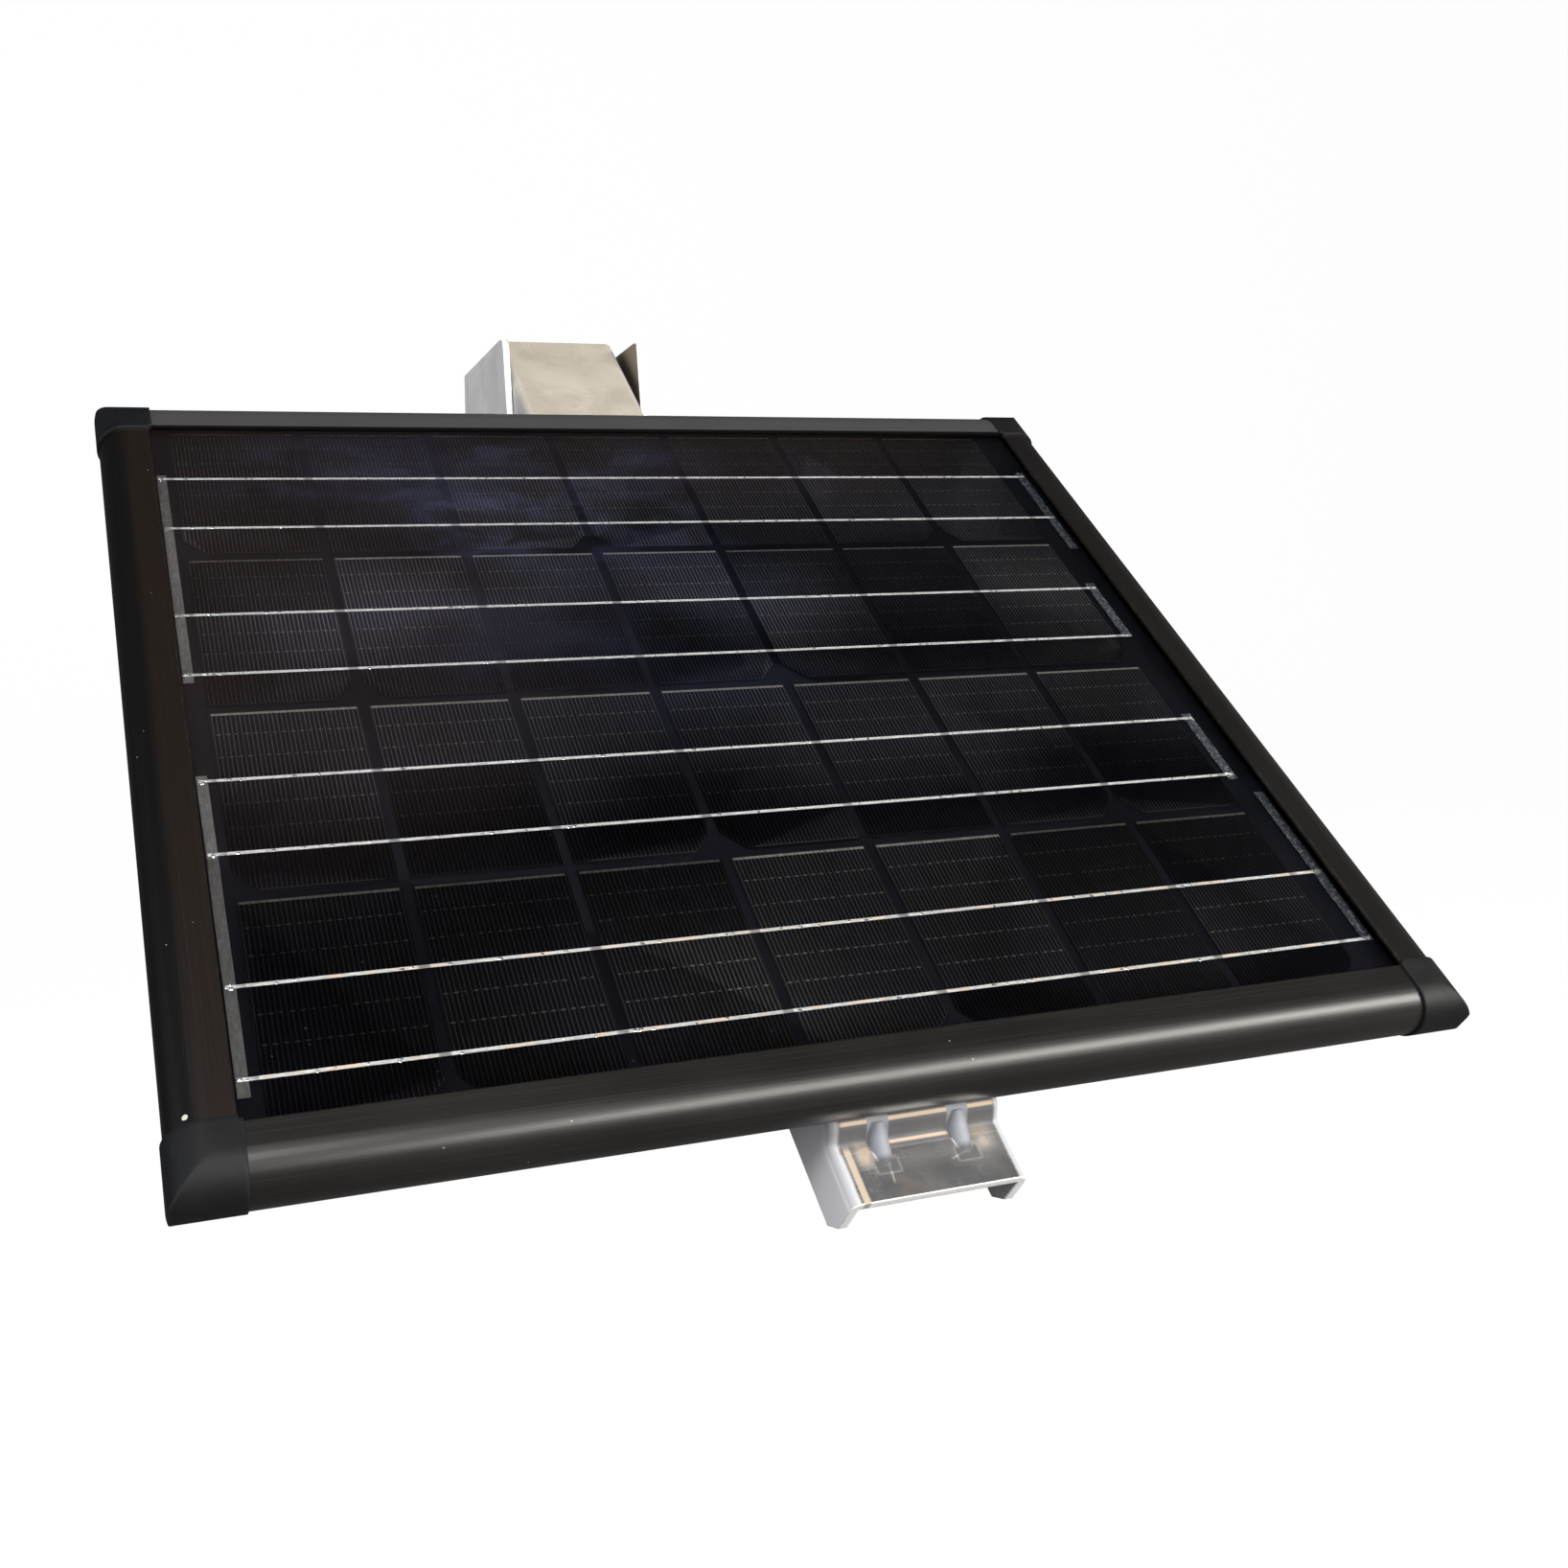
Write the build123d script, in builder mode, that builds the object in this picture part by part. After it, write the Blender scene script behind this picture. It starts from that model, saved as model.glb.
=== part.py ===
from build123d import *
import os
from math import sin, cos, radians

# Small framed solar panel on a tilting pole mount.
# World frame: origin on the pole bracket's back face, at mid width. X right, Y toward
# the pole, Z up the pole. The panel hangs in front of the pole, its rear edge high.
# Panel frame: origin at the cell array centre, X right, Y up the slope, Z out of the glass.

# ---------------------------------------------------------------- frames
TILT = 40.0                     # panel slope from horizontal
BRACKET_X = 10.4                # panel bracket centre line, in the panel frame
POLE_Y = 273.5                  # array centre to pole face, horizontally
POLE_Z = 86.2                   # array centre to world origin, vertically
GAP_LEFT, GAP_RIGHT = 0.55, 4.75    # side gaps between the two brackets
POLE_X = BRACKET_X + (GAP_RIGHT - GAP_LEFT) / 2     # pole bracket centre, in the panel frame

PANEL = Plane(
    origin=(-POLE_X, -POLE_Y, -POLE_Z),
    x_dir=(1, 0, 0),
    z_dir=(0, -sin(radians(TILT)), cos(radians(TILT))),
)
PANEL_X, PANEL_Y, PANEL_Z = PANEL.x_dir, PANEL.y_dir, PANEL.z_dir
NORMAL_AXIS = Axis(PANEL.origin, PANEL_Z)
SLOPE_AXIS = Axis(PANEL.origin, PANEL_Y)


def at(x, y, z):
    """World point of a point given in panel coordinates."""
    return PANEL.from_local_coords(Vector(x, y, z))


def level(z, centre=(0, 0)):
    """Plane parallel to the glass at panel height z, its origin at panel (x, y) centre."""
    return Plane(origin=at(*centre, z), x_dir=PANEL_X, z_dir=PANEL_Z)


def side(x, centre=(0, 0)):
    """Panel YZ plane at panel x, facing +X, its origin at panel (y, z) centre."""
    return Plane(origin=at(x, *centre), x_dir=PANEL_Y, z_dir=PANEL_X)


def upright(x, centre=(0, 0)):
    """World YZ plane at world x, facing +X, its origin at world (y, z) centre."""
    return Plane(origin=(x, *centre), x_dir=(0, 1, 0), z_dir=(1, 0, 0))


# ---------------------------------------------------------------- frame sizes
FRAME_X, FRAME_Y = FRAME_CENTRE = (2.3, -9.4)
FRAME_W, FRAME_D = 448.8, 357.8
SECTION_W, SECTION_H = 19.6, 23.0   # rail section, plan width and height
NOSE_R = SECTION_H / 2
TOP_Z = 4.0                     # lip top
BOTTOM_Z = TOP_Z - SECTION_H    # rail underside
NOSE_Z = TOP_Z - NOSE_R         # bullnose centre height
NOSE_U = SECTION_W - NOSE_R     # bullnose centre, outward from the lip
WALL = 1.4
GROOVE_D = 8.0                  # laminate groove depth
GROOVE_TOP, GROOVE_BOTTOM = 2.6, -3.2
GROOVE_H = GROOVE_TOP - GROOVE_BOTTOM
GROOVE_Z = (GROOVE_TOP + GROOVE_BOTTOM) / 2
GROOVE_CUT = 2.0                # groove cutter overrun past the lip
GROOVE_U = (GROOVE_D - GROOVE_CUT) / 2      # groove cutter centre
LIP_CHAMFER = 0.5
OPEN_W, OPEN_D = FRAME_W - 2 * SECTION_W, FRAME_D - 2 * SECTION_W

CAP_LEG = 20.8                  # corner cap leg, along the frame's outer edge
CAP_PROUD = 0.9                 # cap stands proud of the rail
CAP_CORNER_R = 3.0              # outer corner in plan
TONGUE_END = 15.8               # outward limit of the tongues, before their clearance
TONGUE_H, TONGUE_L = 9.0, 14.0

# ---------------------------------------------------------------- laminate sizes
CELL_COLUMNS, ROWS = 7, 4
PITCH = 56.0                    # cell pitch across a row
CELL_W, CELL_D = 52.25, 78.4
CELL_CORNER = 8.5               # leg of the clipped cell corner
ROW_PITCH = 81.4
FIRST_RIBBON_Y = 1.5 * ROW_PITCH    # first ribbon of the rear row
RIBBON_STEP = 31.2              # cell rear edge to first ribbon, and on to the second
RIBBON_W = 1.2
RIBBON_INSET = 0.6              # ribbon end inside the bus ribbon's outer edge

# Heights of the layer faces, from the glass down
GLASS_TOP, GLASS_BOTTOM = 2.0, -1.2
FRONT_BOTTOM = -1.6             # front encapsulant
TABBING_BOTTOM = -1.8
CELL_BOTTOM = -2.0
REAR_BOTTOM = -2.4              # rear encapsulant
BACK_BOTTOM = -2.7              # backsheet
GLASS_CHAMFER = 0.4
GROOVE_ENTRY = 6.4              # laminate edge inside the groove
LAMINATE_W, LAMINATE_D = OPEN_W + 2 * GROOVE_ENTRY, OPEN_D + 2 * GROOVE_ENTRY
SEALANT_INSET = 0.6             # sealant inner edge, outward from the lip

# Clipped front corner of each cell, left to right: L left, R right, - none
CLIPPED = ("L-RL-RL", "RL-RL-R")    # alternating from the rear row

BUS_LEFT_W, BUS_RIGHT_W = 3.8, 4.6
BUS_LEFT_X = -201.3             # outer edge
BUS_LEFT = ((124.5, 5.6), (-38.2, -159.0))      # rear y, front y
# One right bus ribbon for each row: outer edge x, rear y, front y
BUS_RIGHT = (
    (208.1, 125.0, 68.2),
    (202.1, 44.0, 8.9),
    (202.1, -38.2, -74.4),
    (209.2, -81.8, -154.2),
)

# ---------------------------------------------------------------- junction box sizes
BOX_X, BOX_Y = BOX_CENTRE = (-100.0, 96.0)
BOX_W, BOX_D, BOX_H = 88.0, 66.0, 17.0
BOX_CORNER_R = 5
BOX_WALL, BOX_FLOOR = 2.5, 2
ADHESIVE_T = 0.8
SEAL_T, LID_T = 0.8, 3.0
FOOT_Z = BACK_BOTTOM - ADHESIVE_T   # box face toward the backsheet
SEAT_Z = FOOT_Z - BOX_H             # rim that carries the seal
LID_Z = SEAT_Z - SEAL_T - LID_T     # outer face of the lid
LID_SCREW_GRID = (BOX_W - 14, BOX_D - 14, 2, 2)
LID_HEAD_R, LID_HEAD_H = 2.8, 1.8
ENTRY_DY, ENTRY_L, ENTRY_W = 14, 40, 5      # ribbon entry slot, from the box centre
TERMINAL_X = (-24, -8, 8, 24)       # from the box centre
TERMINAL_Z = FOOT_Z - 2.0           # upper face of the terminal plates
TERMINAL_T = 1.2
DIODE_X = (-16, 0, 16)              # from the box centre
DIODE_R, DIODE_L, LEAD_R, LEAD_L = 2.7, 8.4, 0.6, 16

GLAND = (BOX_Y - 14, FOOT_Z - 9.5)  # panel y, z
GLAND_X = BOX_X + BOX_W / 2         # outer face of the box wall
HEX_L, NOSE_L = 5, 9                # gland hexagon and tapered nose
CABLE_R, CABLE_BEND_R = 3.0, 11
CABLE_BORE_R = CABLE_R + 0.02

# ---------------------------------------------------------------- bracket sizes
SHEET = 3.0
BRACKET_W = 63.2                # panel bracket outer width
BRACKET_LEFT = BRACKET_X - BRACKET_W / 2
BRACKET_FRONT, BRACKET_REAR = -208.8, 266.4
WEB_TOP = BOTTOM_Z              # web top under the rails
WEB_LOW = -25.0                 # web top at the two joggled ends
FLANGE_BOTTOM = -45.2
JOGGLE_FRONT_HIGH, JOGGLE_FRONT_LOW = -185.1, -189.1
JOGGLE_REAR_HIGH, JOGGLE_REAR_LOW = 171.7, 177.1
JOGGLE_INNER_R, JOGGLE_OUTER_R = 2.2, 5.2
WEB_EDGE_R = 4.2                # outside radius between web and flanges
GUSSET_X, GUSSET_R = 14.5, 3.5  # gusset offset from the centre line, radius
GUSSET_TOP = Vector(0, JOGGLE_FRONT_HIGH - 0.7, WEB_TOP - 0.4)     # ridge line start
GUSSET_END = Vector(0, -198.0, WEB_LOW)                            # ridge line end
LIGHTENING_Y = (-110, 0, 110)

POLE_BRACKET_W = BRACKET_W + GAP_LEFT + GAP_RIGHT + 2 * SHEET
POLE_LEFT, POLE_RIGHT = -POLE_BRACKET_W / 2, POLE_BRACKET_W / 2

PIVOT = (228.0, -55.1)          # panel y, z
LOCK = (201.9, -77.0)           # panel y, z
PIVOT_D, LOCK_D, SCREW_D = 8.0, 6.0, 5.0
BORE_CLEAR = 0.05               # radial clearance of the bolt and rail screw bores
WASHER_CLEAR = 0.02             # radial clearance in washers and nuts
SLOT_R = 34.0                   # pivot to the lock slot centre line
SLOT_ANGLE = -100               # middle of the lock slot, degrees from world +Y
SWING = 30.0                    # travel each way
pivot_point = at(BRACKET_X, *PIVOT)
lock_point = at(BRACKET_X, *LOCK)
PIVOT_Y, PIVOT_Z = PIVOT_YZ = (pivot_point.Y, pivot_point.Z)     # world y, z
LOCK_Y, LOCK_Z = LOCK_YZ = (lock_point.Y, lock_point.Z)

WASHER_T = 1.6                  # pivot and lock washers
PIVOT_NUT_H, NUT_COLLAR_H = 6.5, 1.5
LOCK_GAP = 0.05                 # lock washer to flange
SPACER_CLEAR = 0.02             # spacer to each bracket

# Screws from the bracket web into the front and rear rails
SCREW_X = 20.0                  # from the bracket centre line
SCREW_Y = 4.6                   # outward from the lip
SCREW_FRONT_Y = FRAME_Y - OPEN_D / 2 - SCREW_Y
SCREW_REAR_Y = FRAME_Y + OPEN_D / 2 + SCREW_Y
SCREW_SITES = [
    (BRACKET_X + sign * SCREW_X, y) for sign in (-1, 1) for y in (SCREW_FRONT_Y, SCREW_REAR_Y)
]
SCREW_WASHER_T = 1.0
SCREW_SEAT_Z = WEB_TOP - SHEET - SCREW_WASHER_T     # underside of the washers


# ================================================================ frame
def rail(start, outward, along, length, screw_y=None):
    """Hollow bullnosed rail; section x runs outward from the lip, section y up."""
    with BuildPart() as body:
        with BuildSketch(Plane(origin=start, x_dir=outward, z_dir=along)):
            with BuildLine():
                Polyline(
                    (NOSE_U, TOP_Z), (LIP_CHAMFER, TOP_Z), (0, TOP_Z - LIP_CHAMFER),
                    (0, BOTTOM_Z + LIP_CHAMFER), (LIP_CHAMFER, BOTTOM_Z), (NOSE_U, BOTTOM_Z),
                )
                ThreePointArc((NOSE_U, BOTTOM_Z), (SECTION_W, NOSE_Z), (NOSE_U, TOP_Z))
            make_face()
            # laminate groove
            with Locations((GROOVE_U, GROOVE_Z)):
                Rectangle(GROOVE_D + GROOVE_CUT, GROOVE_H, mode=Mode.SUBTRACT)
            # hollow chamber under and behind the groove
            arc_top = (GROOVE_D + WALL, TOP_Z - WALL - 0.05)
            arc_foot = (NOSE_U + 0.2, BOTTOM_Z + WALL)
            with BuildLine():
                Polyline(
                    arc_foot, (WALL, BOTTOM_Z + WALL), (WALL, GROOVE_BOTTOM - WALL),
                    (GROOVE_D + WALL, GROOVE_BOTTOM - WALL), arc_top,
                )
                ThreePointArc(arc_top, (SECTION_W - WALL, NOSE_Z), arc_foot)
            make_face(mode=Mode.SUBTRACT)
        extrude(amount=length)
        if screw_y is not None:
            with BuildSketch(level(BOTTOM_Z - 1)):
                with Locations((BRACKET_X - SCREW_X, screw_y), (BRACKET_X + SCREW_X, screw_y)):
                    Circle(SCREW_D / 2 + BORE_CLEAR)
            extrude(amount=WALL + 2, mode=Mode.SUBTRACT)
    return body.part


def rails():
    """The four rails between the corner caps."""
    lip_x, lip_y = OPEN_W / 2, OPEN_D / 2
    end_x, end_y = FRAME_W / 2 - CAP_LEG, FRAME_D / 2 - CAP_LEG
    # name: start x and y from the frame centre, outward, along, length, screw y
    table = {
        "rail_left": (-lip_x, -end_y, -PANEL_X, PANEL_Y, 2 * end_y, None),
        "rail_right": (lip_x, end_y, PANEL_X, -PANEL_Y, 2 * end_y, None),
        "rail_front": (end_x, -lip_y, -PANEL_Y, -PANEL_X, 2 * end_x, SCREW_FRONT_Y),
        "rail_rear": (-end_x, lip_y, PANEL_Y, PANEL_X, 2 * end_x, SCREW_REAR_Y),
    }
    return {
        name: rail(at(FRAME_X + x, FRAME_Y + y, 0), outward, along, length, screw_y)
        for name, (x, y, outward, along, length, screw_y) in table.items()
    }


def corner_cap(sign_x, sign_y):
    """Mitred L-shaped cap with tongues that plug the chambers of both rails."""
    lip_x, lip_y = FRAME_X + sign_x * OPEN_W / 2, FRAME_Y + sign_y * OPEN_D / 2
    out_x, out_y = PANEL_X * sign_x, PANEL_Y * sign_y
    inset = CAP_LEG - SECTION_W         # inward past the lip corner
    outer = SECTION_W + CAP_PROUD
    mitre = Plane(origin=at(lip_x, lip_y, 0), x_dir=PANEL_Z, z_dir=out_x - out_y)
    along_x = Plane(origin=at(lip_x - sign_x * inset, lip_y, 0), x_dir=out_y, z_dir=out_x)
    along_y = Plane(origin=at(lip_x, lip_y - sign_y * inset, 0), x_dir=out_x, z_dir=out_y)
    # flip is -1 where the section plane's y points down
    flip_x = sign_x * sign_y
    legs = []
    for plane, keep, flip in ((along_x, Keep.BOTTOM, flip_x), (along_y, Keep.TOP, -flip_x)):
        top, bottom, middle = flip * (TOP_Z + CAP_PROUD), flip * BOTTOM_Z, flip * NOSE_Z
        with BuildPart() as leg:
            with BuildSketch(plane):
                with BuildLine():
                    Polyline((NOSE_U, top), (0, top), (0, bottom), (NOSE_U, bottom))
                    ThreePointArc((NOSE_U, bottom), (outer, middle), (NOSE_U, top))
                make_face()
                with Locations((GROOVE_U, flip * GROOVE_Z)):
                    Rectangle(GROOVE_D + GROOVE_CUT, GROOVE_H, mode=Mode.SUBTRACT)
            extrude(amount=inset + outer)
            split(bisect_by=mitre, keep=keep)
            # tongue behind the groove, joined to a lower one under it
            with BuildSketch(plane):
                with Locations(((GROOVE_D + WALL + TONGUE_END) / 2, middle)):
                    Rectangle(TONGUE_END - GROOVE_D - WALL - 0.1, TONGUE_H)
                with Locations(((GROOVE_D + 2 * WALL + 2) / 2, flip * (BOTTOM_Z + WALL + 5.6))):
                    Rectangle(GROOVE_D + 2 - 0.2, TONGUE_H)
            extrude(amount=-TONGUE_L)
        legs.append(leg.part)
    with BuildPart() as cap:
        add(legs[0])
        add(legs[1])
        # round the outer corner in plan
        corner = (lip_x + sign_x * outer, lip_y + sign_y * outer)
        overrun = 2
        block_in = (CAP_CORNER_R - overrun) / 2
        with BuildSketch(level(BOTTOM_Z - 2, corner)):
            with Locations((-sign_x * block_in, -sign_y * block_in)):
                Rectangle(CAP_CORNER_R + overrun, CAP_CORNER_R + overrun)
            with Locations((-sign_x * CAP_CORNER_R, -sign_y * CAP_CORNER_R)):
                Circle(CAP_CORNER_R, mode=Mode.SUBTRACT)
        extrude(amount=SECTION_H + 5, mode=Mode.SUBTRACT)
    return cap.part


# ================================================================ laminate
def glass():
    with BuildPart() as body:
        with BuildSketch(level(GLASS_BOTTOM, FRAME_CENTRE)):
            Rectangle(LAMINATE_W, LAMINATE_D)
        extrude(amount=GLASS_TOP - GLASS_BOTTOM)
        chamfer(body.faces().sort_by(NORMAL_AXIS)[-1].edges(), GLASS_CHAMFER)
    return body.part


def encapsulant_front():
    with BuildPart() as body:
        with BuildSketch(level(FRONT_BOTTOM, FRAME_CENTRE)):
            Rectangle(LAMINATE_W, LAMINATE_D)
        extrude(amount=GLASS_BOTTOM - FRONT_BOTTOM)
    return body.part


def cells_row(row):
    """One row of cells; row 0 is at the rear."""
    rear = FIRST_RIBBON_Y - row * ROW_PITCH + RIBBON_STEP
    front = rear - CELL_D
    with BuildPart() as body:
        with BuildSketch(level(CELL_BOTTOM)):
            for column, clipped in enumerate(CLIPPED[row % 2]):
                left = (column - CELL_COLUMNS / 2) * PITCH + (PITCH - CELL_W) / 2
                right = left + CELL_W
                points = [(left, rear), (right, rear)]
                if clipped == "R":
                    points += [(right, front + CELL_CORNER), (right - CELL_CORNER, front)]
                else:
                    points += [(right, front)]
                if clipped == "L":
                    points += [(left + CELL_CORNER, front), (left, front + CELL_CORNER)]
                else:
                    points += [(left, front)]
                with BuildLine():
                    Polyline(*points, close=True)
                make_face()
        extrude(amount=TABBING_BOTTOM - CELL_BOTTOM)
    return body.part


def tabbing_row(row):
    """The two ribbons of a row, out over the end bus ribbons."""
    right = BUS_RIGHT[row][0]
    with BuildPart() as body:
        with BuildSketch(level(TABBING_BOTTOM)):
            for step in (0.0, RIBBON_STEP):
                y = FIRST_RIBBON_Y - row * ROW_PITCH - step
                with Locations(((BUS_LEFT_X + right) / 2, y)):
                    Rectangle(right - BUS_LEFT_X - 2 * RIBBON_INSET, RIBBON_W)
        extrude(amount=FRONT_BOTTOM - TABBING_BOTTOM)
    return body.part


def bus_ribbons(ribbons, width):
    """Ribbons along panel Y from a list of (centre x, rear y, front y)."""
    with BuildPart() as body:
        with BuildSketch(level(CELL_BOTTOM)):
            for x, rear, front in ribbons:
                with Locations((x, (rear + front) / 2)):
                    Rectangle(width, rear - front)
        extrude(amount=TABBING_BOTTOM - CELL_BOTTOM)
    return body.part


def encapsulant_rear(embedded):
    """Rear encapsulant, moulded round the cells and ribbons."""
    with BuildPart() as body:
        with BuildSketch(level(REAR_BOTTOM, FRAME_CENTRE)):
            Rectangle(LAMINATE_W, LAMINATE_D)
        extrude(amount=FRONT_BOTTOM - REAR_BOTTOM)
        for part in embedded:
            add(part, mode=Mode.SUBTRACT)
    return body.part


def backsheet():
    with BuildPart() as body:
        with BuildSketch(level(BACK_BOTTOM, FRAME_CENTRE)):
            Rectangle(LAMINATE_W, LAMINATE_D)
            with Locations((BOX_X - FRAME_X, BOX_Y + ENTRY_DY - FRAME_Y)):
                SlotOverall(ENTRY_L, ENTRY_W, mode=Mode.SUBTRACT)
        extrude(amount=REAR_BOTTOM - BACK_BOTTOM)
    return body.part


def edge_sealant():
    """Sealing tape folded round the laminate edge, filling the groove."""
    with BuildPart() as body:
        with BuildSketch(level(GROOVE_BOTTOM, FRAME_CENTRE)):
            Rectangle(OPEN_W + 2 * GROOVE_D, OPEN_D + 2 * GROOVE_D)
            Rectangle(OPEN_W + 2 * SEALANT_INSET, OPEN_D + 2 * SEALANT_INSET, mode=Mode.SUBTRACT)
        extrude(amount=GROOVE_H)
        with BuildSketch(level(BACK_BOTTOM, FRAME_CENTRE)):
            Rectangle(LAMINATE_W, LAMINATE_D)
        extrude(amount=GLASS_TOP - BACK_BOTTOM, mode=Mode.SUBTRACT)
    return body.part


# ================================================================ junction box
def box_ring(z, thickness, outer_inset, outer_r, inner_inset, inner_r):
    """Flat ring following the box outline; insets are taken off the full box size."""
    with BuildPart() as body:
        with BuildSketch(level(z, BOX_CENTRE)):
            RectangleRounded(BOX_W - outer_inset, BOX_D - outer_inset, outer_r)
            RectangleRounded(
                BOX_W - inner_inset, BOX_D - inner_inset, inner_r, mode=Mode.SUBTRACT
            )
        extrude(amount=thickness)
    return body.part


def junction_box_base():
    with BuildPart() as body:
        with BuildSketch(level(SEAT_Z, BOX_CENTRE)):
            RectangleRounded(BOX_W, BOX_D, BOX_CORNER_R)
        extrude(amount=BOX_H)
        fillet(body.edges().group_by(NORMAL_AXIS)[-1], 0.8)
        with BuildSketch(level(SEAT_Z, BOX_CENTRE)):
            RectangleRounded(BOX_W - 2 * BOX_WALL, BOX_D - 2 * BOX_WALL, 3)
        extrude(amount=BOX_H - BOX_FLOOR, mode=Mode.SUBTRACT)
        # ribbon entry in the floor
        with BuildSketch(level(FOOT_Z - 3, BOX_CENTRE)):
            with Locations((0, ENTRY_DY)):
                SlotOverall(ENTRY_L, ENTRY_W)
        extrude(amount=4, mode=Mode.SUBTRACT)
        # lid screw posts
        with BuildSketch(level(SEAT_Z, BOX_CENTRE)):
            with GridLocations(*LID_SCREW_GRID):
                Circle(3.6)
                Circle(1.25, mode=Mode.SUBTRACT)
        extrude(amount=BOX_H - 1.5)
        # cable entry
        with BuildSketch(side(GLAND_X - 4, GLAND)):
            Circle(5.0)
        extrude(amount=8, mode=Mode.SUBTRACT)
    return body.part


def junction_box_lid():
    with BuildPart() as body:
        with BuildSketch(level(LID_Z, BOX_CENTRE)):
            RectangleRounded(BOX_W, BOX_D, BOX_CORNER_R)
        extrude(amount=LID_T)
        fillet(body.edges().group_by(NORMAL_AXIS)[0], 1.2)
        # screw holes
        with BuildSketch(level(SEAT_Z - 5, BOX_CENTRE)):
            with GridLocations(*LID_SCREW_GRID):
                Circle(1.6)
        extrude(amount=5, mode=Mode.SUBTRACT)
        # four stiffening ribs on the outer face
        with BuildSketch(level(LID_Z, BOX_CENTRE)):
            with GridLocations(0, 9, 1, 4):
                SlotOverall(50, 3)
        extrude(amount=-0.8)
    return body.part


def junction_box_screws():
    """Cross-recessed lid screws."""
    with BuildPart() as body:
        with BuildSketch(level(LID_Z, BOX_CENTRE)):
            with GridLocations(*LID_SCREW_GRID):
                Circle(LID_HEAD_R)
        extrude(amount=-LID_HEAD_H)
        with BuildSketch(level(LID_Z, BOX_CENTRE)):
            with GridLocations(*LID_SCREW_GRID):
                Circle(1.2)
        extrude(amount=11)
        with BuildSketch(level(LID_Z - LID_HEAD_H, BOX_CENTRE)):
            with GridLocations(*LID_SCREW_GRID):
                Rectangle(3.4, 0.7)
                Rectangle(0.7, 3.4)
        extrude(amount=0.9, mode=Mode.SUBTRACT)
    return body.part


def junction_terminals():
    """Terminal plates, each with a block on its lower face."""
    with BuildPart() as body:
        with BuildSketch(level(TERMINAL_Z, BOX_CENTRE)):
            with Locations(*[(x, -2) for x in TERMINAL_X]):
                RectangleRounded(10, 22, 1.5)
        extrude(amount=-TERMINAL_T)
        with BuildSketch(level(TERMINAL_Z - TERMINAL_T, BOX_CENTRE)):
            with Locations(*[(x, -9) for x in TERMINAL_X]):
                Rectangle(7, 6)
        extrude(amount=-4.0)
    return body.part


def bypass_diodes():
    """Diodes lying across the terminals, their leads meeting end to end."""
    centre = (BOX_Y + 4, TERMINAL_Z - TERMINAL_T - DIODE_R)
    with BuildPart() as body:
        for x in DIODE_X:
            with BuildSketch(side(BOX_X + x - DIODE_L / 2, centre)):
                Circle(DIODE_R)
            extrude(amount=DIODE_L)
            with BuildSketch(side(BOX_X + x - LEAD_L / 2, centre)):
                Circle(LEAD_R)
            extrude(amount=LEAD_L)
    return body.part


# ================================================================ cable
CABLE_X = BRACKET_LEFT - 10.0       # run beside the bracket
CABLE_END_Y = -62.0
PLUG_REAR_Y = CABLE_END_Y - 2       # rear face of the plug body
PLUG_L = 26
PLUG_FRONT_Y = PLUG_REAR_Y - PLUG_L
CONTACT_X = 3.6                     # pin and socket, from the plug centre


def cable_gland():
    with BuildPart() as body:
        with BuildSketch(side(GLAND_X - 5, GLAND)):
            Circle(4.95)
        extrude(amount=5)
        with BuildSketch(side(GLAND_X, GLAND)):
            RegularPolygon(7.4, 6)
        extrude(amount=HEX_L)
        with BuildSketch(side(GLAND_X + HEX_L, GLAND)):
            Circle(6.4)
        extrude(amount=NOSE_L, taper=8)
        with BuildSketch(side(GLAND_X - 6, GLAND)):
            Circle(CABLE_BORE_R)
        extrude(amount=22, mode=Mode.SUBTRACT)
    return body.part


def cable():
    with BuildPart() as body:
        with BuildLine() as run:
            FilletPolyline(
                at(GLAND_X - 12, *GLAND),
                at(CABLE_X, *GLAND),
                at(CABLE_X, CABLE_END_Y, GLAND[1]),
                radius=CABLE_BEND_R,
            )
        with BuildSketch(Plane(origin=run.line @ 0, x_dir=PANEL_Y, z_dir=run.line % 0)):
            Circle(CABLE_R)
        sweep()
    return body.part


def cable_plane(y):
    """Plane across the cable at panel y, facing down the slope."""
    return Plane(origin=at(CABLE_X, y, GLAND[1]), x_dir=PANEL_X, z_dir=-PANEL_Y)


def cable_plug():
    with BuildPart() as body:
        # sleeve flaring toward the plug body
        with BuildSketch(cable_plane(CABLE_END_Y + 14)):
            Circle(4.6)
        extrude(amount=16, taper=-3)
        with BuildSketch(cable_plane(PLUG_REAR_Y)):
            RectangleRounded(16, 11, 3)
        extrude(amount=PLUG_L)
        fillet(body.edges().group_by(SLOPE_AXIS)[0], 0.8)
        # cable bore
        with BuildSketch(cable_plane(CABLE_END_Y + 15)):
            Circle(CABLE_BORE_R)
        extrude(amount=15.02, mode=Mode.SUBTRACT)
        # pin on the left, socket on the right
        with BuildSketch(cable_plane(PLUG_FRONT_Y)):
            with Locations((-CONTACT_X, 0)):
                Circle(2.4)
        extrude(amount=6)
        with BuildSketch(cable_plane(PLUG_FRONT_Y)):
            with Locations((CONTACT_X, 0)):
                Circle(1.9)
        extrude(amount=-9, mode=Mode.SUBTRACT)
    return body.part


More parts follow.
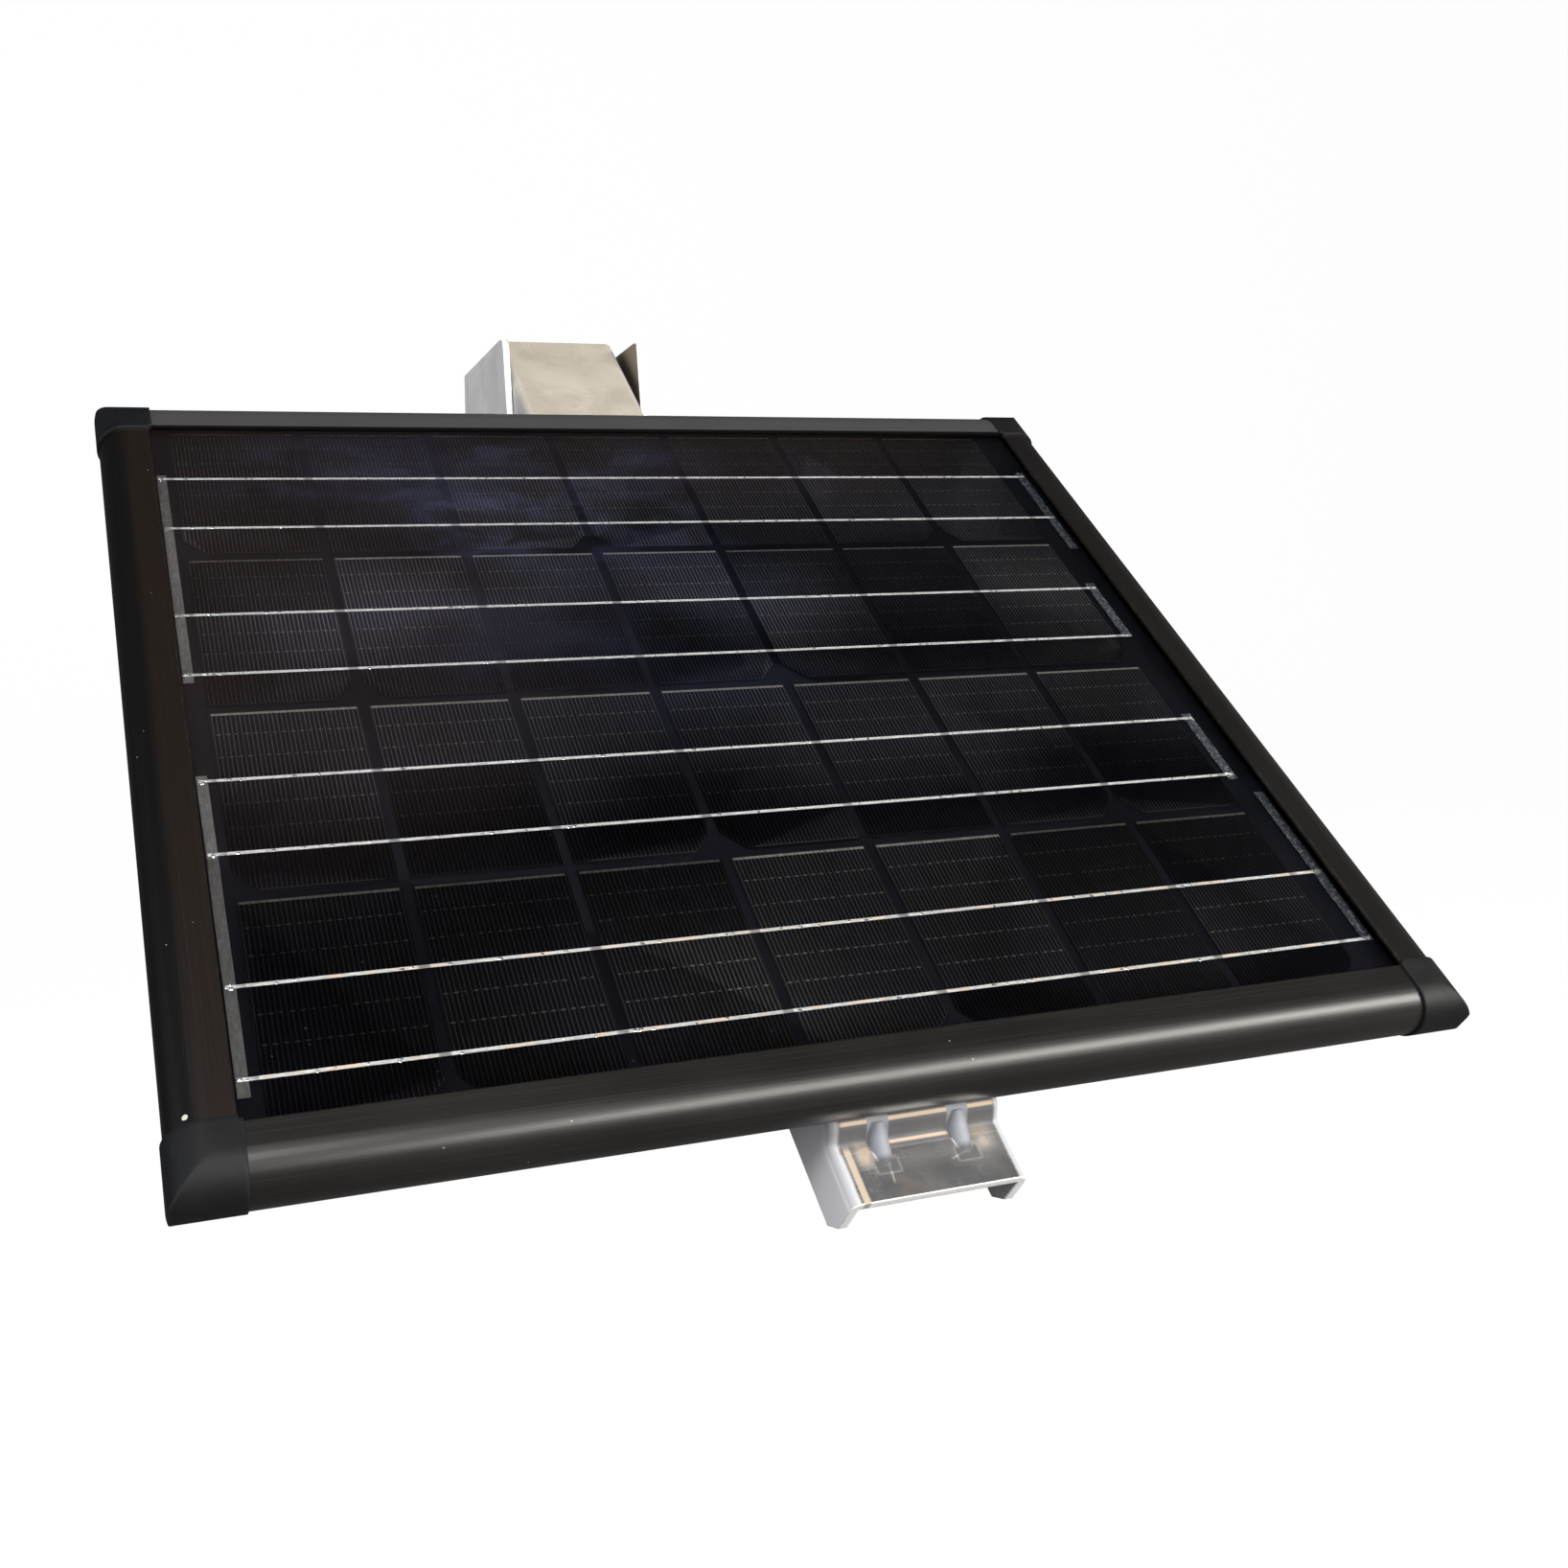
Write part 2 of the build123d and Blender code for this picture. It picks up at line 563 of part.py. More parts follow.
# ================================================================ panel bracket
# Side outline, panel (y, z): the joggled web top, then the flange edge back to the front
BRACKET_OUTLINE = [
    (BRACKET_FRONT, WEB_LOW), (JOGGLE_FRONT_LOW, WEB_LOW), (JOGGLE_FRONT_HIGH, WEB_TOP),
    (JOGGLE_REAR_HIGH, WEB_TOP), (JOGGLE_REAR_LOW, WEB_LOW), (BRACKET_REAR, WEB_LOW),
    (BRACKET_REAR, -40.0), (BRACKET_REAR - 6, -47.0), (247.5, -62.0), (235.5, -72.0),
    (215.5, -88.0), (191.5, -88.0), (183.5, -76.0), (170.0, FLANGE_BOTTOM),
    (BRACKET_FRONT + 4.2, FLANGE_BOTTOM), (BRACKET_FRONT, FLANGE_BOTTOM + 6.0),
]
# Joggle bends: y, z, radius
JOGGLE_BENDS = (
    (JOGGLE_FRONT_LOW, WEB_LOW, JOGGLE_INNER_R),
    (JOGGLE_FRONT_HIGH, WEB_TOP, JOGGLE_OUTER_R),
    (JOGGLE_REAR_HIGH, WEB_TOP, JOGGLE_OUTER_R),
    (JOGGLE_REAR_LOW, WEB_LOW, JOGGLE_INNER_R),
)


def is_web_edge(edge):
    """True for edges where the web top meets the outer face of a flange."""
    start, middle, end = (PANEL.to_local_coords(edge @ t) for t in (0, 0.5, 1))
    on_face = all(
        abs(abs(point.X - BRACKET_X) - BRACKET_W / 2) < 0.01 for point in (start, middle)
    )
    return on_face and min(start.Z, middle.Z, end.Z) > WEB_LOW - 0.05


def panel_bracket():
    """Channel under the panel, open downward, with its web joggled down at both ends."""
    with BuildPart() as body:
        with BuildSketch(side(BRACKET_LEFT)) as outline:
            with BuildLine():
                Polyline(*BRACKET_OUTLINE, close=True)
            make_face()
            for y, z, radius in JOGGLE_BENDS:
                fillet(outline.vertices().sort_by_distance(Vector(y, z, 0))[0], radius)
        extrude(amount=BRACKET_W)
        # two round gussets over the front joggle, running out onto the front tongue
        ridge = GUSSET_END - GUSSET_TOP
        slope = ridge.normalized()
        start = GUSSET_TOP - Vector(0, slope.Z, -slope.Y) * GUSSET_R
        along = PANEL_Y * slope.Y + PANEL_Z * slope.Z
        for offset in (-GUSSET_X, GUSSET_X):
            origin = at(BRACKET_X + offset, start.Y, start.Z)
            with BuildSketch(Plane(origin=origin, x_dir=PANEL_X, z_dir=along)):
                Circle(GUSSET_R)
            extrude(amount=ridge.length + 1.5)
        # trim what stands above the rails' underside
        with BuildSketch(level(WEB_TOP)):
            with Locations((BRACKET_X, -190)):
                Rectangle(BRACKET_W, 30)
        extrude(amount=6, mode=Mode.SUBTRACT)
        # hollow out between the flanges, following the joggled web
        low, high = WEB_LOW - SHEET, WEB_TOP - SHEET
        front, rear, below = BRACKET_FRONT - 5, BRACKET_REAR + 5, -120
        with BuildSketch(side(BRACKET_LEFT + SHEET)):
            with BuildLine():
                Polyline(
                    (front, low), (JOGGLE_FRONT_LOW + 1.0, low), (JOGGLE_FRONT_HIGH + 1.0, high),
                    (JOGGLE_REAR_HIGH - 1.0, high), (JOGGLE_REAR_LOW - 1.0, low), (rear, low),
                    (rear, below), (front, below), close=True,
                )
            make_face()
        extrude(amount=BRACKET_W - 2 * SHEET, mode=Mode.SUBTRACT)
        fillet(body.edges().filter_by(is_web_edge), WEB_EDGE_R)
        # screw holes
        with BuildSketch(level(WEB_TOP + 1)):
            with Locations(*SCREW_SITES):
                Circle(SCREW_D / 2 + 0.3)
        extrude(amount=-8, mode=Mode.SUBTRACT)
        # lightening slots in the web
        with BuildSketch(level(WEB_TOP + 1)):
            with Locations(*[(BRACKET_X, y) for y in LIGHTENING_Y]):
                SlotOverall(60, 22, rotation=90)
        extrude(amount=-8, mode=Mode.SUBTRACT)
        # pivot and lock bores
        with BuildSketch(side(BRACKET_LEFT - 1)):
            with Locations(PIVOT):
                Circle(PIVOT_D / 2 + BORE_CLEAR)
            with Locations(LOCK):
                Circle(LOCK_D / 2 + BORE_CLEAR)
        extrude(amount=BRACKET_W + 2, mode=Mode.SUBTRACT)
    return body.part


def bracket_screws():
    """Hex-head screws up through the web into the rails."""
    with BuildPart() as body:
        with BuildSketch(level(SCREW_SEAT_Z)):
            with Locations(*SCREW_SITES):
                Circle(SCREW_D / 2)
        extrude(amount=SHEET + SCREW_WASHER_T + WALL + 5.0)
        with BuildSketch(level(SCREW_SEAT_Z)):
            with Locations(*SCREW_SITES):
                RegularPolygon(4.6, 6)
        extrude(amount=-4.0)
    return body.part


def bracket_washers():
    with BuildPart() as body:
        with BuildSketch(level(SCREW_SEAT_Z)):
            with Locations(*SCREW_SITES):
                Circle(5.0)
                Circle(SCREW_D / 2 + WASHER_CLEAR, mode=Mode.SUBTRACT)
        extrude(amount=SCREW_WASHER_T)
    return body.part


# ================================================================ pole bracket
# Flange outline, world (y, z): back face, foot, front edge, top
POLE_OUTLINE = [
    (0.0, 53.0), (0.0, -60.0), (-40.0, -60.0), (-98.0, -26.0),
    (-98.0, 2.0), (-82.0, 24.0), (-76.0, 65.0),
]


def swing_point(radius, angle, along=0.0):
    """World (y, z) at a polar place about the pivot, moved along the tangent."""
    return (
        PIVOT_Y + radius * cos(angle) - along * sin(angle),
        PIVOT_Z + radius * sin(angle) + along * cos(angle),
    )


def pole_bracket():
    """Channel with its web against the pole and its flanges forward."""

    def is_long_at(edge, y):
        return edge.length > 100 and abs(edge.center().Y - y) < 0.01

    with BuildPart() as body:
        with BuildSketch(upright(POLE_LEFT)):
            with BuildLine():
                Polyline(*POLE_OUTLINE, close=True)
            make_face()
        extrude(amount=POLE_BRACKET_W)
        with BuildSketch(upright(POLE_LEFT + SHEET)):
            with Locations((-SHEET - 100, 0)):
                Rectangle(200, 200)
        extrude(amount=POLE_BRACKET_W - 2 * SHEET, mode=Mode.SUBTRACT)
        # outside, then inside, of the bends between web and flanges
        fillet(body.edges().filter_by(Axis.Z).filter_by(lambda e: is_long_at(e, 0)), 3.5)
        fillet(body.edges().filter_by(Axis.Z).filter_by(lambda e: is_long_at(e, -SHEET)), 1.0)
        # front top corners of the flanges
        top_front = body.edges().filter_by(Axis.X).filter_by(
            lambda e: abs(e.center().Y + 76) < 1 and e.center().Z > 60
        )
        fillet(top_front, 5.0)
        # pivot bore
        with BuildSketch(upright(POLE_LEFT - 1, PIVOT_YZ)):
            Circle(PIVOT_D / 2 + BORE_CLEAR)
        extrude(amount=POLE_BRACKET_W + 2, mode=Mode.SUBTRACT)
        # arc slots for the lock bolt, one degree longer than the swing at each end
        start, end = radians(SLOT_ANGLE - SWING - 1), radians(SLOT_ANGLE + SWING + 1)
        middle = (start + end) / 2
        half = LOCK_D / 2 + 0.3
        outer, inner = SLOT_R + half, SLOT_R - half
        outer_start, outer_end = swing_point(outer, start), swing_point(outer, end)
        inner_start, inner_end = swing_point(inner, start), swing_point(inner, end)
        with BuildSketch(upright(POLE_LEFT - 1)):
            with BuildLine():
                ThreePointArc(outer_start, swing_point(outer, middle), outer_end)
                ThreePointArc(outer_end, swing_point(SLOT_R, end, half), inner_end)
                ThreePointArc(inner_end, swing_point(inner, middle), inner_start)
                ThreePointArc(inner_start, swing_point(SLOT_R, start, -half), outer_start)
            make_face()
        extrude(amount=POLE_BRACKET_W + 2, mode=Mode.SUBTRACT)
        # pole fixing holes and band slots in the web
        with BuildSketch(Plane.XZ.offset(-1)):
            with GridLocations(36, 84, 2, 2):
                Circle(3.25)
            with GridLocations(0, 44, 1, 2):
                SlotOverall(44, 8)
        extrude(amount=6, mode=Mode.SUBTRACT)
    return body.part


# ================================================================ pivot and lock fasteners
def washers(stations, centre, radius, bore):
    """Washers on one axis; stations are (left face x, thickness)."""
    with BuildPart() as body:
        for x, thickness in stations:
            with BuildSketch(upright(x, centre)):
                Circle(radius)
                Circle(bore, mode=Mode.SUBTRACT)
            extrude(amount=thickness)
    return body.part


def pivot_bolt():
    """Bolt with its head on the left."""
    seat, head_h, beyond_nut = POLE_LEFT - WASHER_T, 5.3, 3.0
    with BuildPart() as body:
        with BuildSketch(upright(seat, PIVOT_YZ)):
            Circle(PIVOT_D / 2)
        extrude(
            amount=POLE_BRACKET_W + 2 * WASHER_T + PIVOT_NUT_H + NUT_COLLAR_H + beyond_nut
        )
        chamfer(body.edges().sort_by(Axis.X)[-1], 0.7)
        with BuildSketch(upright(seat, PIVOT_YZ)):
            RegularPolygon(13 / 2, 6, major_radius=False)
        extrude(amount=-head_h)
        with BuildSketch(upright(seat - head_h, PIVOT_YZ)):
            Circle(5.2)
        extrude(amount=-0.3)
    return body.part


def pivot_nut():
    """Hex nut with a round collar on its outer face."""
    seat, bore = POLE_RIGHT + WASHER_T, PIVOT_D / 2 + WASHER_CLEAR
    with BuildPart() as body:
        with BuildSketch(upright(seat, PIVOT_YZ)):
            RegularPolygon(13 / 2, 6, major_radius=False)
            Circle(bore, mode=Mode.SUBTRACT)
        extrude(amount=PIVOT_NUT_H)
        with BuildSketch(upright(seat + PIVOT_NUT_H, PIVOT_YZ)):
            Circle(5.4)
            Circle(bore, mode=Mode.SUBTRACT)
        extrude(amount=NUT_COLLAR_H)
    return body.part


def lock_bolt():
    """Bolt with its head on the left."""
    seat = POLE_LEFT - LOCK_GAP - WASHER_T
    with BuildPart() as body:
        with BuildSketch(upright(seat, LOCK_YZ)):
            Circle(LOCK_D / 2)
        extrude(amount=POLE_BRACKET_W + 2 * (WASHER_T + LOCK_GAP) + 12.0)
        chamfer(body.edges().sort_by(Axis.X)[-1], 0.6)
        with BuildSketch(upright(seat, LOCK_YZ)):
            RegularPolygon(10 / 2, 6, major_radius=False)
        extrude(amount=-4.0)
    return body.part


# Wing outline: x from the nut seat, distance above or below the bolt axis
WING = [(1.0, 5.0), (7.0, 12.5), (13.5, 15.5), (14.5, 11.5), (9.0, 7.0), (6.0, 4.2)]
WING_T = 2.5


def lock_wing_nut():
    seat = POLE_RIGHT + LOCK_GAP + WASHER_T
    with BuildPart() as body:
        with BuildSketch(upright(seat, LOCK_YZ)):
            Circle(6.2)
            Circle(LOCK_D / 2 + WASHER_CLEAR, mode=Mode.SUBTRACT)
        extrude(amount=7.0, taper=6)
        with BuildSketch(Plane.XZ.offset(-LOCK_Y - WING_T / 2)):
            for sign in (1, -1):
                points = [(seat + x, LOCK_Z + sign * rise) for x, rise in WING]
                with BuildLine():
                    Spline(*points)
                    Line(points[-1], points[0])
                make_face()
        extrude(amount=WING_T)
    return body.part


# ================================================================ export
cell_rows = [cells_row(row) for row in range(ROWS)]
tabbing_rows = [tabbing_row(row) for row in range(ROWS)]
bus_left = bus_ribbons(
    [(BUS_LEFT_X + BUS_LEFT_W / 2, rear, front) for rear, front in BUS_LEFT], BUS_LEFT_W
)
bus_right = bus_ribbons(
    [(edge - BUS_RIGHT_W / 2, rear, front) for edge, rear, front in BUS_RIGHT], BUS_RIGHT_W
)

pieces = {
    **rails(),
    "cap_front_left": corner_cap(-1, -1),
    "cap_front_right": corner_cap(1, -1),
    "cap_rear_left": corner_cap(-1, 1),
    "cap_rear_right": corner_cap(1, 1),
    "glass": glass(),
    "encapsulant_front": encapsulant_front(),
    **{f"cells_row_{number}": part for number, part in enumerate(cell_rows, 1)},
    **{f"tabbing_row_{number}": part for number, part in enumerate(tabbing_rows, 1)},
    "bus_ribbons_left": bus_left,
    "bus_ribbons_right": bus_right,
    "encapsulant_rear": encapsulant_rear([*cell_rows, *tabbing_rows, bus_left, bus_right]),
    "backsheet": backsheet(),
    "edge_sealant": edge_sealant(),
    "junction_box_adhesive": box_ring(FOOT_Z, ADHESIVE_T, 2, 4, 16, 3),
    "junction_box_base": junction_box_base(),
    "junction_box_seal": box_ring(SEAT_Z - SEAL_T, SEAL_T, 1, 4.5, 4.4, 3.3),
    "junction_box_lid": junction_box_lid(),
    "junction_box_screws": junction_box_screws(),
    "junction_terminals": junction_terminals(),
    "bypass_diodes": bypass_diodes(),
    "cable_gland": cable_gland(),
    "cable": cable(),
    "cable_plug": cable_plug(),
    "panel_bracket": panel_bracket(),
    "bracket_screws": bracket_screws(),
    "bracket_washers": bracket_washers(),
    "pole_bracket": pole_bracket(),
    "pivot_bolt": pivot_bolt(),
    "pivot_washers": washers(
        [(POLE_LEFT - WASHER_T, WASHER_T), (POLE_RIGHT, WASHER_T)],
        PIVOT_YZ, 8.0, PIVOT_D / 2 + WASHER_CLEAR,
    ),
    "pivot_nut": pivot_nut(),
    # spacers fill the gaps between the two brackets
    "pivot_spacers": washers(
        [
            (POLE_LEFT + SHEET + SPACER_CLEAR, GAP_LEFT - 2 * SPACER_CLEAR),
            (POLE_RIGHT - SHEET - GAP_RIGHT + SPACER_CLEAR, GAP_RIGHT - 2 * SPACER_CLEAR),
        ],
        PIVOT_YZ, 9.0, PIVOT_D / 2 + BORE_CLEAR,
    ),
    "lock_bolt": lock_bolt(),
    "lock_washers": washers(
        [(POLE_LEFT - LOCK_GAP - WASHER_T, WASHER_T), (POLE_RIGHT + LOCK_GAP, WASHER_T)],
        LOCK_YZ, 7.0, LOCK_D / 2 + WASHER_CLEAR,
    ),
    "lock_wing_nut": lock_wing_nut(),
}

os.makedirs("parts", exist_ok=True)
for name, part in pieces.items():
    part.label = name
    export_step(part, f"parts/{name}.step")
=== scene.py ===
"""A small framed solar panel on a pole bracket, on pale studio paper.

The row frame is in metres: +X right, -Y front, +Z up. The panel has its own frame in
millimetres, tilted about X so that its front edge is low, with +Z out of the glass.
"""

import math
import random
from functools import cached_property
from types import SimpleNamespace

import bpy
from mathutils import Matrix, Vector


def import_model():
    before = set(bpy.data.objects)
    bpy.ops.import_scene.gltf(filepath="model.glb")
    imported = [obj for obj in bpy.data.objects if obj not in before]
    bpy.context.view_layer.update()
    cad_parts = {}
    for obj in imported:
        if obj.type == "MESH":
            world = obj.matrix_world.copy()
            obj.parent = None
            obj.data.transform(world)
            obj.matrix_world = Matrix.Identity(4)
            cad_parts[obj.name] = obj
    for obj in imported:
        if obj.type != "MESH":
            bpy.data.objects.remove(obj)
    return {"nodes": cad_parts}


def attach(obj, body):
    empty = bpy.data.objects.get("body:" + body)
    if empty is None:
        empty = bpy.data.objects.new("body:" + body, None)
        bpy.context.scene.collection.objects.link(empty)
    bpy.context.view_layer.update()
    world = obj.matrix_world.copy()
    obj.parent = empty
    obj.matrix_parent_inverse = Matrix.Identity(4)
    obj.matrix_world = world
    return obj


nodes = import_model()["nodes"]
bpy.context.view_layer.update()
random.seed(7)
scene = bpy.context.scene

# ------------------------------------------------------------------ dimensions
TILT = math.radians(40.0)
PANEL_ORIGIN = Vector((-0.0125, -0.2735, -0.0862))   # row frame, metres
PANEL_TURN = Matrix.Rotation(TILT, 3, "X")
MM = 1000.0                       # millimetres in a metre

# panel frame, millimetres
ROWS, COLUMNS = 4, 7
ROW_PITCH, CELL_PITCH = 81.4, 56.0
CELL_WIDTH, CELL_DEPTH = 52.25, 78.4
HALF_RUN = COLUMNS / 2 * CELL_PITCH                  # centre to the end of a row of cells
FIRST_TAB_Y = 1.5 * ROW_PITCH                        # rear tab ribbon of the rear row
TAB_SPACING = 31.2                                   # between the two tab ribbons of a row
REAR_EDGE_Y = FIRST_TAB_Y + TAB_SPACING              # rear edge of the rear row
FINGER_PITCH = CELL_WIDTH / 33.0
TIE_PITCH = 10.4
TAB_TOP = -1.6
FLOOR_Z = -0.62                                      # metres


def at(x, y, z):
    """Panel frame in millimetres to the row frame in metres."""
    return PANEL_ORIGIN + PANEL_TURN @ (Vector((x, y, z)) / MM)


# ------------------------------------------------------------------ shader nodes
class Value:
    """A node output. Arithmetic on it makes Math nodes; a | b takes the larger."""

    def __init__(self, graph, socket):
        self.graph = graph
        self.socket = socket

    def __add__(self, other):
        return self.graph.math("ADD", self, other)

    def __sub__(self, other):
        return self.graph.math("SUBTRACT", self, other)

    def __rsub__(self, other):
        return self.graph.math("SUBTRACT", other, self)

    def __mul__(self, other):
        return self.graph.math("MULTIPLY", self, other)

    def __truediv__(self, other):
        return self.graph.math("DIVIDE", self, other)

    def __mod__(self, other):
        return self.graph.math("FLOORED_MODULO", self, other)

    def __or__(self, other):
        return self.graph.math("MAXIMUM", self, other)

    def __abs__(self):
        return self.graph.math("ABSOLUTE", self)

    def linear(self, low, high, start=0.3, end=0.7, kind="LINEAR"):
        """Goes from low to high as the value goes from start to end, and is held beyond."""
        limits = {"Value": self, "From Min": start, "From Max": end,
                  "To Min": low, "To Max": high}
        return self.graph.node("MapRange", limits, "Result", interpolation_type=kind)

    def step(self, zero=0.3, one=0.7):
        """Smooth step: 0 where the value is at zero, 1 where it is at one."""
        return self.linear(0.0, 1.0, start=zero, end=one, kind="SMOOTHSTEP")

    def band(self, centre, half, soft):
        """1 within half of centre, fading to 0 over soft."""
        return abs(self - centre).step(zero=half + soft, one=half)


class Graph:
    """Makes shader nodes in one node tree."""

    def __init__(self, tree):
        self.tree = tree
        tree.nodes.clear()

    def put(self, socket, value):
        if isinstance(value, Value):
            self.tree.links.new(value.socket, socket)
        elif socket.type == "RGBA":
            socket.default_value = (*value, 1)
        else:
            socket.default_value = value

    def node(self, kind, inputs=None, output=0, **settings):
        made = self.tree.nodes.new("ShaderNode" + kind)
        for key, value in settings.items():
            setattr(made, key, value)
        for key, value in (inputs or {}).items():
            self.put(made.inputs[key], value)
        return Value(self, made.outputs[output])

    def output(self, kind, shader):
        made = self.tree.nodes.new("ShaderNodeOutput" + kind)
        self.put(made.inputs["Surface"], shader)

    def math(self, operation, *operands):
        return self.node("Math", dict(enumerate(operands)), operation=operation)

    def mix(self, base, to, by):
        """Colour that goes from base to another as by goes from 0 to 1."""
        return self.node("Mix", {0: by, 6: base, 7: to}, 2, data_type="RGBA")

    def mix_value(self, base, to, by):
        return self.node("Mix", {0: by, 2: base, 3: to}, data_type="FLOAT")

    def mix_shader(self, base, to, by):
        return self.node("MixShader", {0: by, 1: base, 2: to})


class Material(Graph):
    """A procedural material, textured in panel millimetres or in row-frame millimetres."""

    def __init__(self, name, on_panel=True):
        self.material = bpy.data.materials.new(name)
        self.material.use_nodes = True
        super().__init__(self.material.node_tree)
        self.on_panel = on_panel

    @cached_property
    def coords(self):
        place = self.node("TexCoord", output="Object")
        if self.on_panel:
            place = self.node("Mapping", {
                "Vector": place,
                "Rotation": (-TILT, 0, 0),
                "Location": -(PANEL_TURN.transposed() @ PANEL_ORIGIN),
            })
        return self.node("VectorMath", {0: place, "Scale": MM}, operation="SCALE")

    @cached_property
    def axes(self):
        split = self.node("SeparateXYZ", {0: self.coords}).socket.node
        return [Value(self, socket) for socket in split.outputs]

    def stretched(self, stretch):
        if stretch is None:
            return self.coords
        return self.node("VectorMath", {0: self.coords, 1: stretch}, operation="MULTIPLY")

    def noise(self, scale=1.0, detail=3.0, rough=0.5, warp=0.0, stretch=None):
        return self.node("TexNoise", {
            "Vector": self.stretched(stretch), "Scale": scale, "Detail": detail,
            "Roughness": rough, "Distortion": warp}, "Fac")

    def voronoi(self, scale=1.0, stretch=None):
        inputs = {"Vector": self.stretched(stretch), "Scale": scale}
        return self.node("TexVoronoi", inputs, "Distance")

    def bevel(self, radius):
        return self.node("Bevel", {"Radius": radius}, samples=4)

    def edge(self, radius, zero=0.02, one=0.25):
        """1 near sharp edges, where the bevelled normal leaves the true one."""
        rounded = self.bevel(radius)
        true = self.node("NewGeometry", output="Normal")
        agree = self.node("VectorMath", {0: rounded, 1: true}, "Value", operation="DOT_PRODUCT")
        return (1.0 - agree).step(zero=zero, one=one)

    def bump(self, height, strength, depth, bevel=None):
        """Normal from a height; depth and the bevel radius are in metres."""
        inputs = {"Strength": strength, "Distance": depth, "Height": height}
        if bevel is not None:
            inputs["Normal"] = self.bevel(bevel)
        return self.node("Bump", inputs)

    def principled(self, base, rough, normal, metal=0.0, spec=None):
        inputs = {"Base Color": base, "Roughness": rough, "Metallic": metal, "Normal": normal}
        if spec is not None:
            inputs["Specular IOR Level"] = spec
        return self.node("BsdfPrincipled", inputs)

    def finish(self, shader):
        self.output("Material", shader)
        return self.material


def shade(colour, gain, lift=0.0):
    """Colour scaled and lifted, held at 1."""
    return tuple(min(1.0, c * gain + lift) for c in colour)


# ------------------------------------------------------------------ frame materials
def anodised(name, along_x):
    """Black anodised rail: die lines along it, faint warm tint, dust, a few nicks."""
    m = Material(name)
    x, y, z = m.axes
    stretch = (0.012, 2.2, 2.2) if along_x else (2.2, 0.012, 2.2)
    lines = m.noise(stretch=stretch, detail=4, rough=0.65)
    broad = m.noise(scale=0.018, rough=0.6)
    fine = m.noise(scale=3.5, detail=2, rough=0.7)
    base = m.mix((0.0066, 0.0056, 0.0050), to=(0.0100, 0.0088, 0.0080), by=broad.step())
    base = m.mix(base, to=(0.030, 0.027, 0.024), by=lines.step(zero=0.45, one=0.75) * 0.30)
    if not along_x:
        # painted shade: the side rails are darker, the left one most of all on its outer side;
        # its flat top is tinted warm brown
        base = m.mix(base, to=(0.0040, 0.0032, 0.0028), by=0.35)
        left = x.step(zero=0.0, one=-10.0)
        flat = x.step(zero=-215.5, one=-210.5)
        left_shade_and_tint = m.mix((0.0016, 0.0016, 0.0016), to=(0.0100, 0.0062, 0.0042), by=flat)
        base = m.mix(base, to=left_shade_and_tint, by=left * 0.8)
    dust = m.noise(scale=1.4, detail=6, rough=0.75).step(zero=0.66, one=0.80) * 0.5
    base = m.mix(base, to=(0.060, 0.057, 0.054), by=dust)
    specks = m.voronoi(scale=0.11).step(zero=0.035, one=0.02)
    base = m.mix(base, to=(0.38, 0.36, 0.33), by=specks * 0.7)
    # edge wear, partly a painted edge highlight: edges lightened where a noise allows
    wear_and_edge_highlight = m.edge(radius=0.0009) * m.noise(scale=0.35, detail=4).step(zero=0.45, one=0.7)
    base = m.mix(base, to=(0.10, 0.095, 0.09), by=wear_and_edge_highlight * 0.5)
    # film of dust on the rear rail; the lip at its front is dull, with painted shade on its inner
    # face
    film = y.step(zero=147.0, one=151.5) * z.step(zero=2.0, one=3.2)
    film_tint = m.mix((0.042, 0.041, 0.041), to=(0.060, 0.058, 0.059), by=broad)
    base = m.mix(base, to=film_tint, by=film)
    # painted shade: the lip's inner face is made near black
    lip = y.step(zero=148.9, one=149.3) * y.step(zero=151.4, one=150.7)
    lip = lip * z.step(zero=-3.0, one=-2.0)
    base = m.mix(base, to=(0.0022, 0.0020, 0.0020), by=lip)
    # small pale chip by the front left cap
    chip_x, chip_y = -216.3, -165.0
    across, along = x - chip_x, y - chip_y
    reach = m.math("SQRT", across * across + along * along)
    chip = (reach + fine * 0.5).step(zero=1.15, one=0.95) * z.step(zero=-8.0, one=-4.0)
    base = m.mix(base, to=(0.62, 0.60, 0.55), by=chip)

    rough = lines.linear(low=0.30, high=0.40, start=0.2, end=0.8) + dust * 0.2
    normal = m.bump(lines * 0.8 + fine * 0.25, strength=0.16, depth=0.00012, bevel=0.0005)
    return m.finish(m.principled(
        base, normal=normal,
        rough=m.mix_value(rough, to=0.8, by=lip),
        metal=m.mix_value(0.15, to=0.0, by=lip),
        spec=m.mix_value(0.5 if along_x else 0.40, to=0.04, by=lip)))


def cap_plastic():
    """Moulded corner cap: matte, slightly blue, fine grain, soft edges, scuffs."""
    m = Material("cap_plastic")
    broad = m.noise(scale=0.05, detail=4, rough=0.6)
    base = m.mix((0.0036, 0.0039, 0.0046), to=(0.0062, 0.0066, 0.0074), by=broad.step())
    scuffs = m.noise(stretch=(1.0, 0.25, 1.0), scale=0.7, detail=5, rough=0.7)
    scuffs = scuffs.step(zero=0.60, one=0.78)
    base = m.mix(base, to=(0.050, 0.053, 0.058), by=scuffs * 0.3)
    # painted highlight along the cap's edges
    edge = m.edge(radius=0.0016, zero=0.01, one=0.2)
    base = m.mix(base, to=(0.045, 0.047, 0.052), by=edge * 0.30)
    grain = m.noise(scale=2.4, detail=4, rough=0.7)
    normal = m.bump(grain, strength=0.38, depth=0.00012, bevel=0.0016)
    return m.finish(m.principled(
        base, rough=broad.linear(low=0.48, high=0.60), normal=normal, spec=0.24))


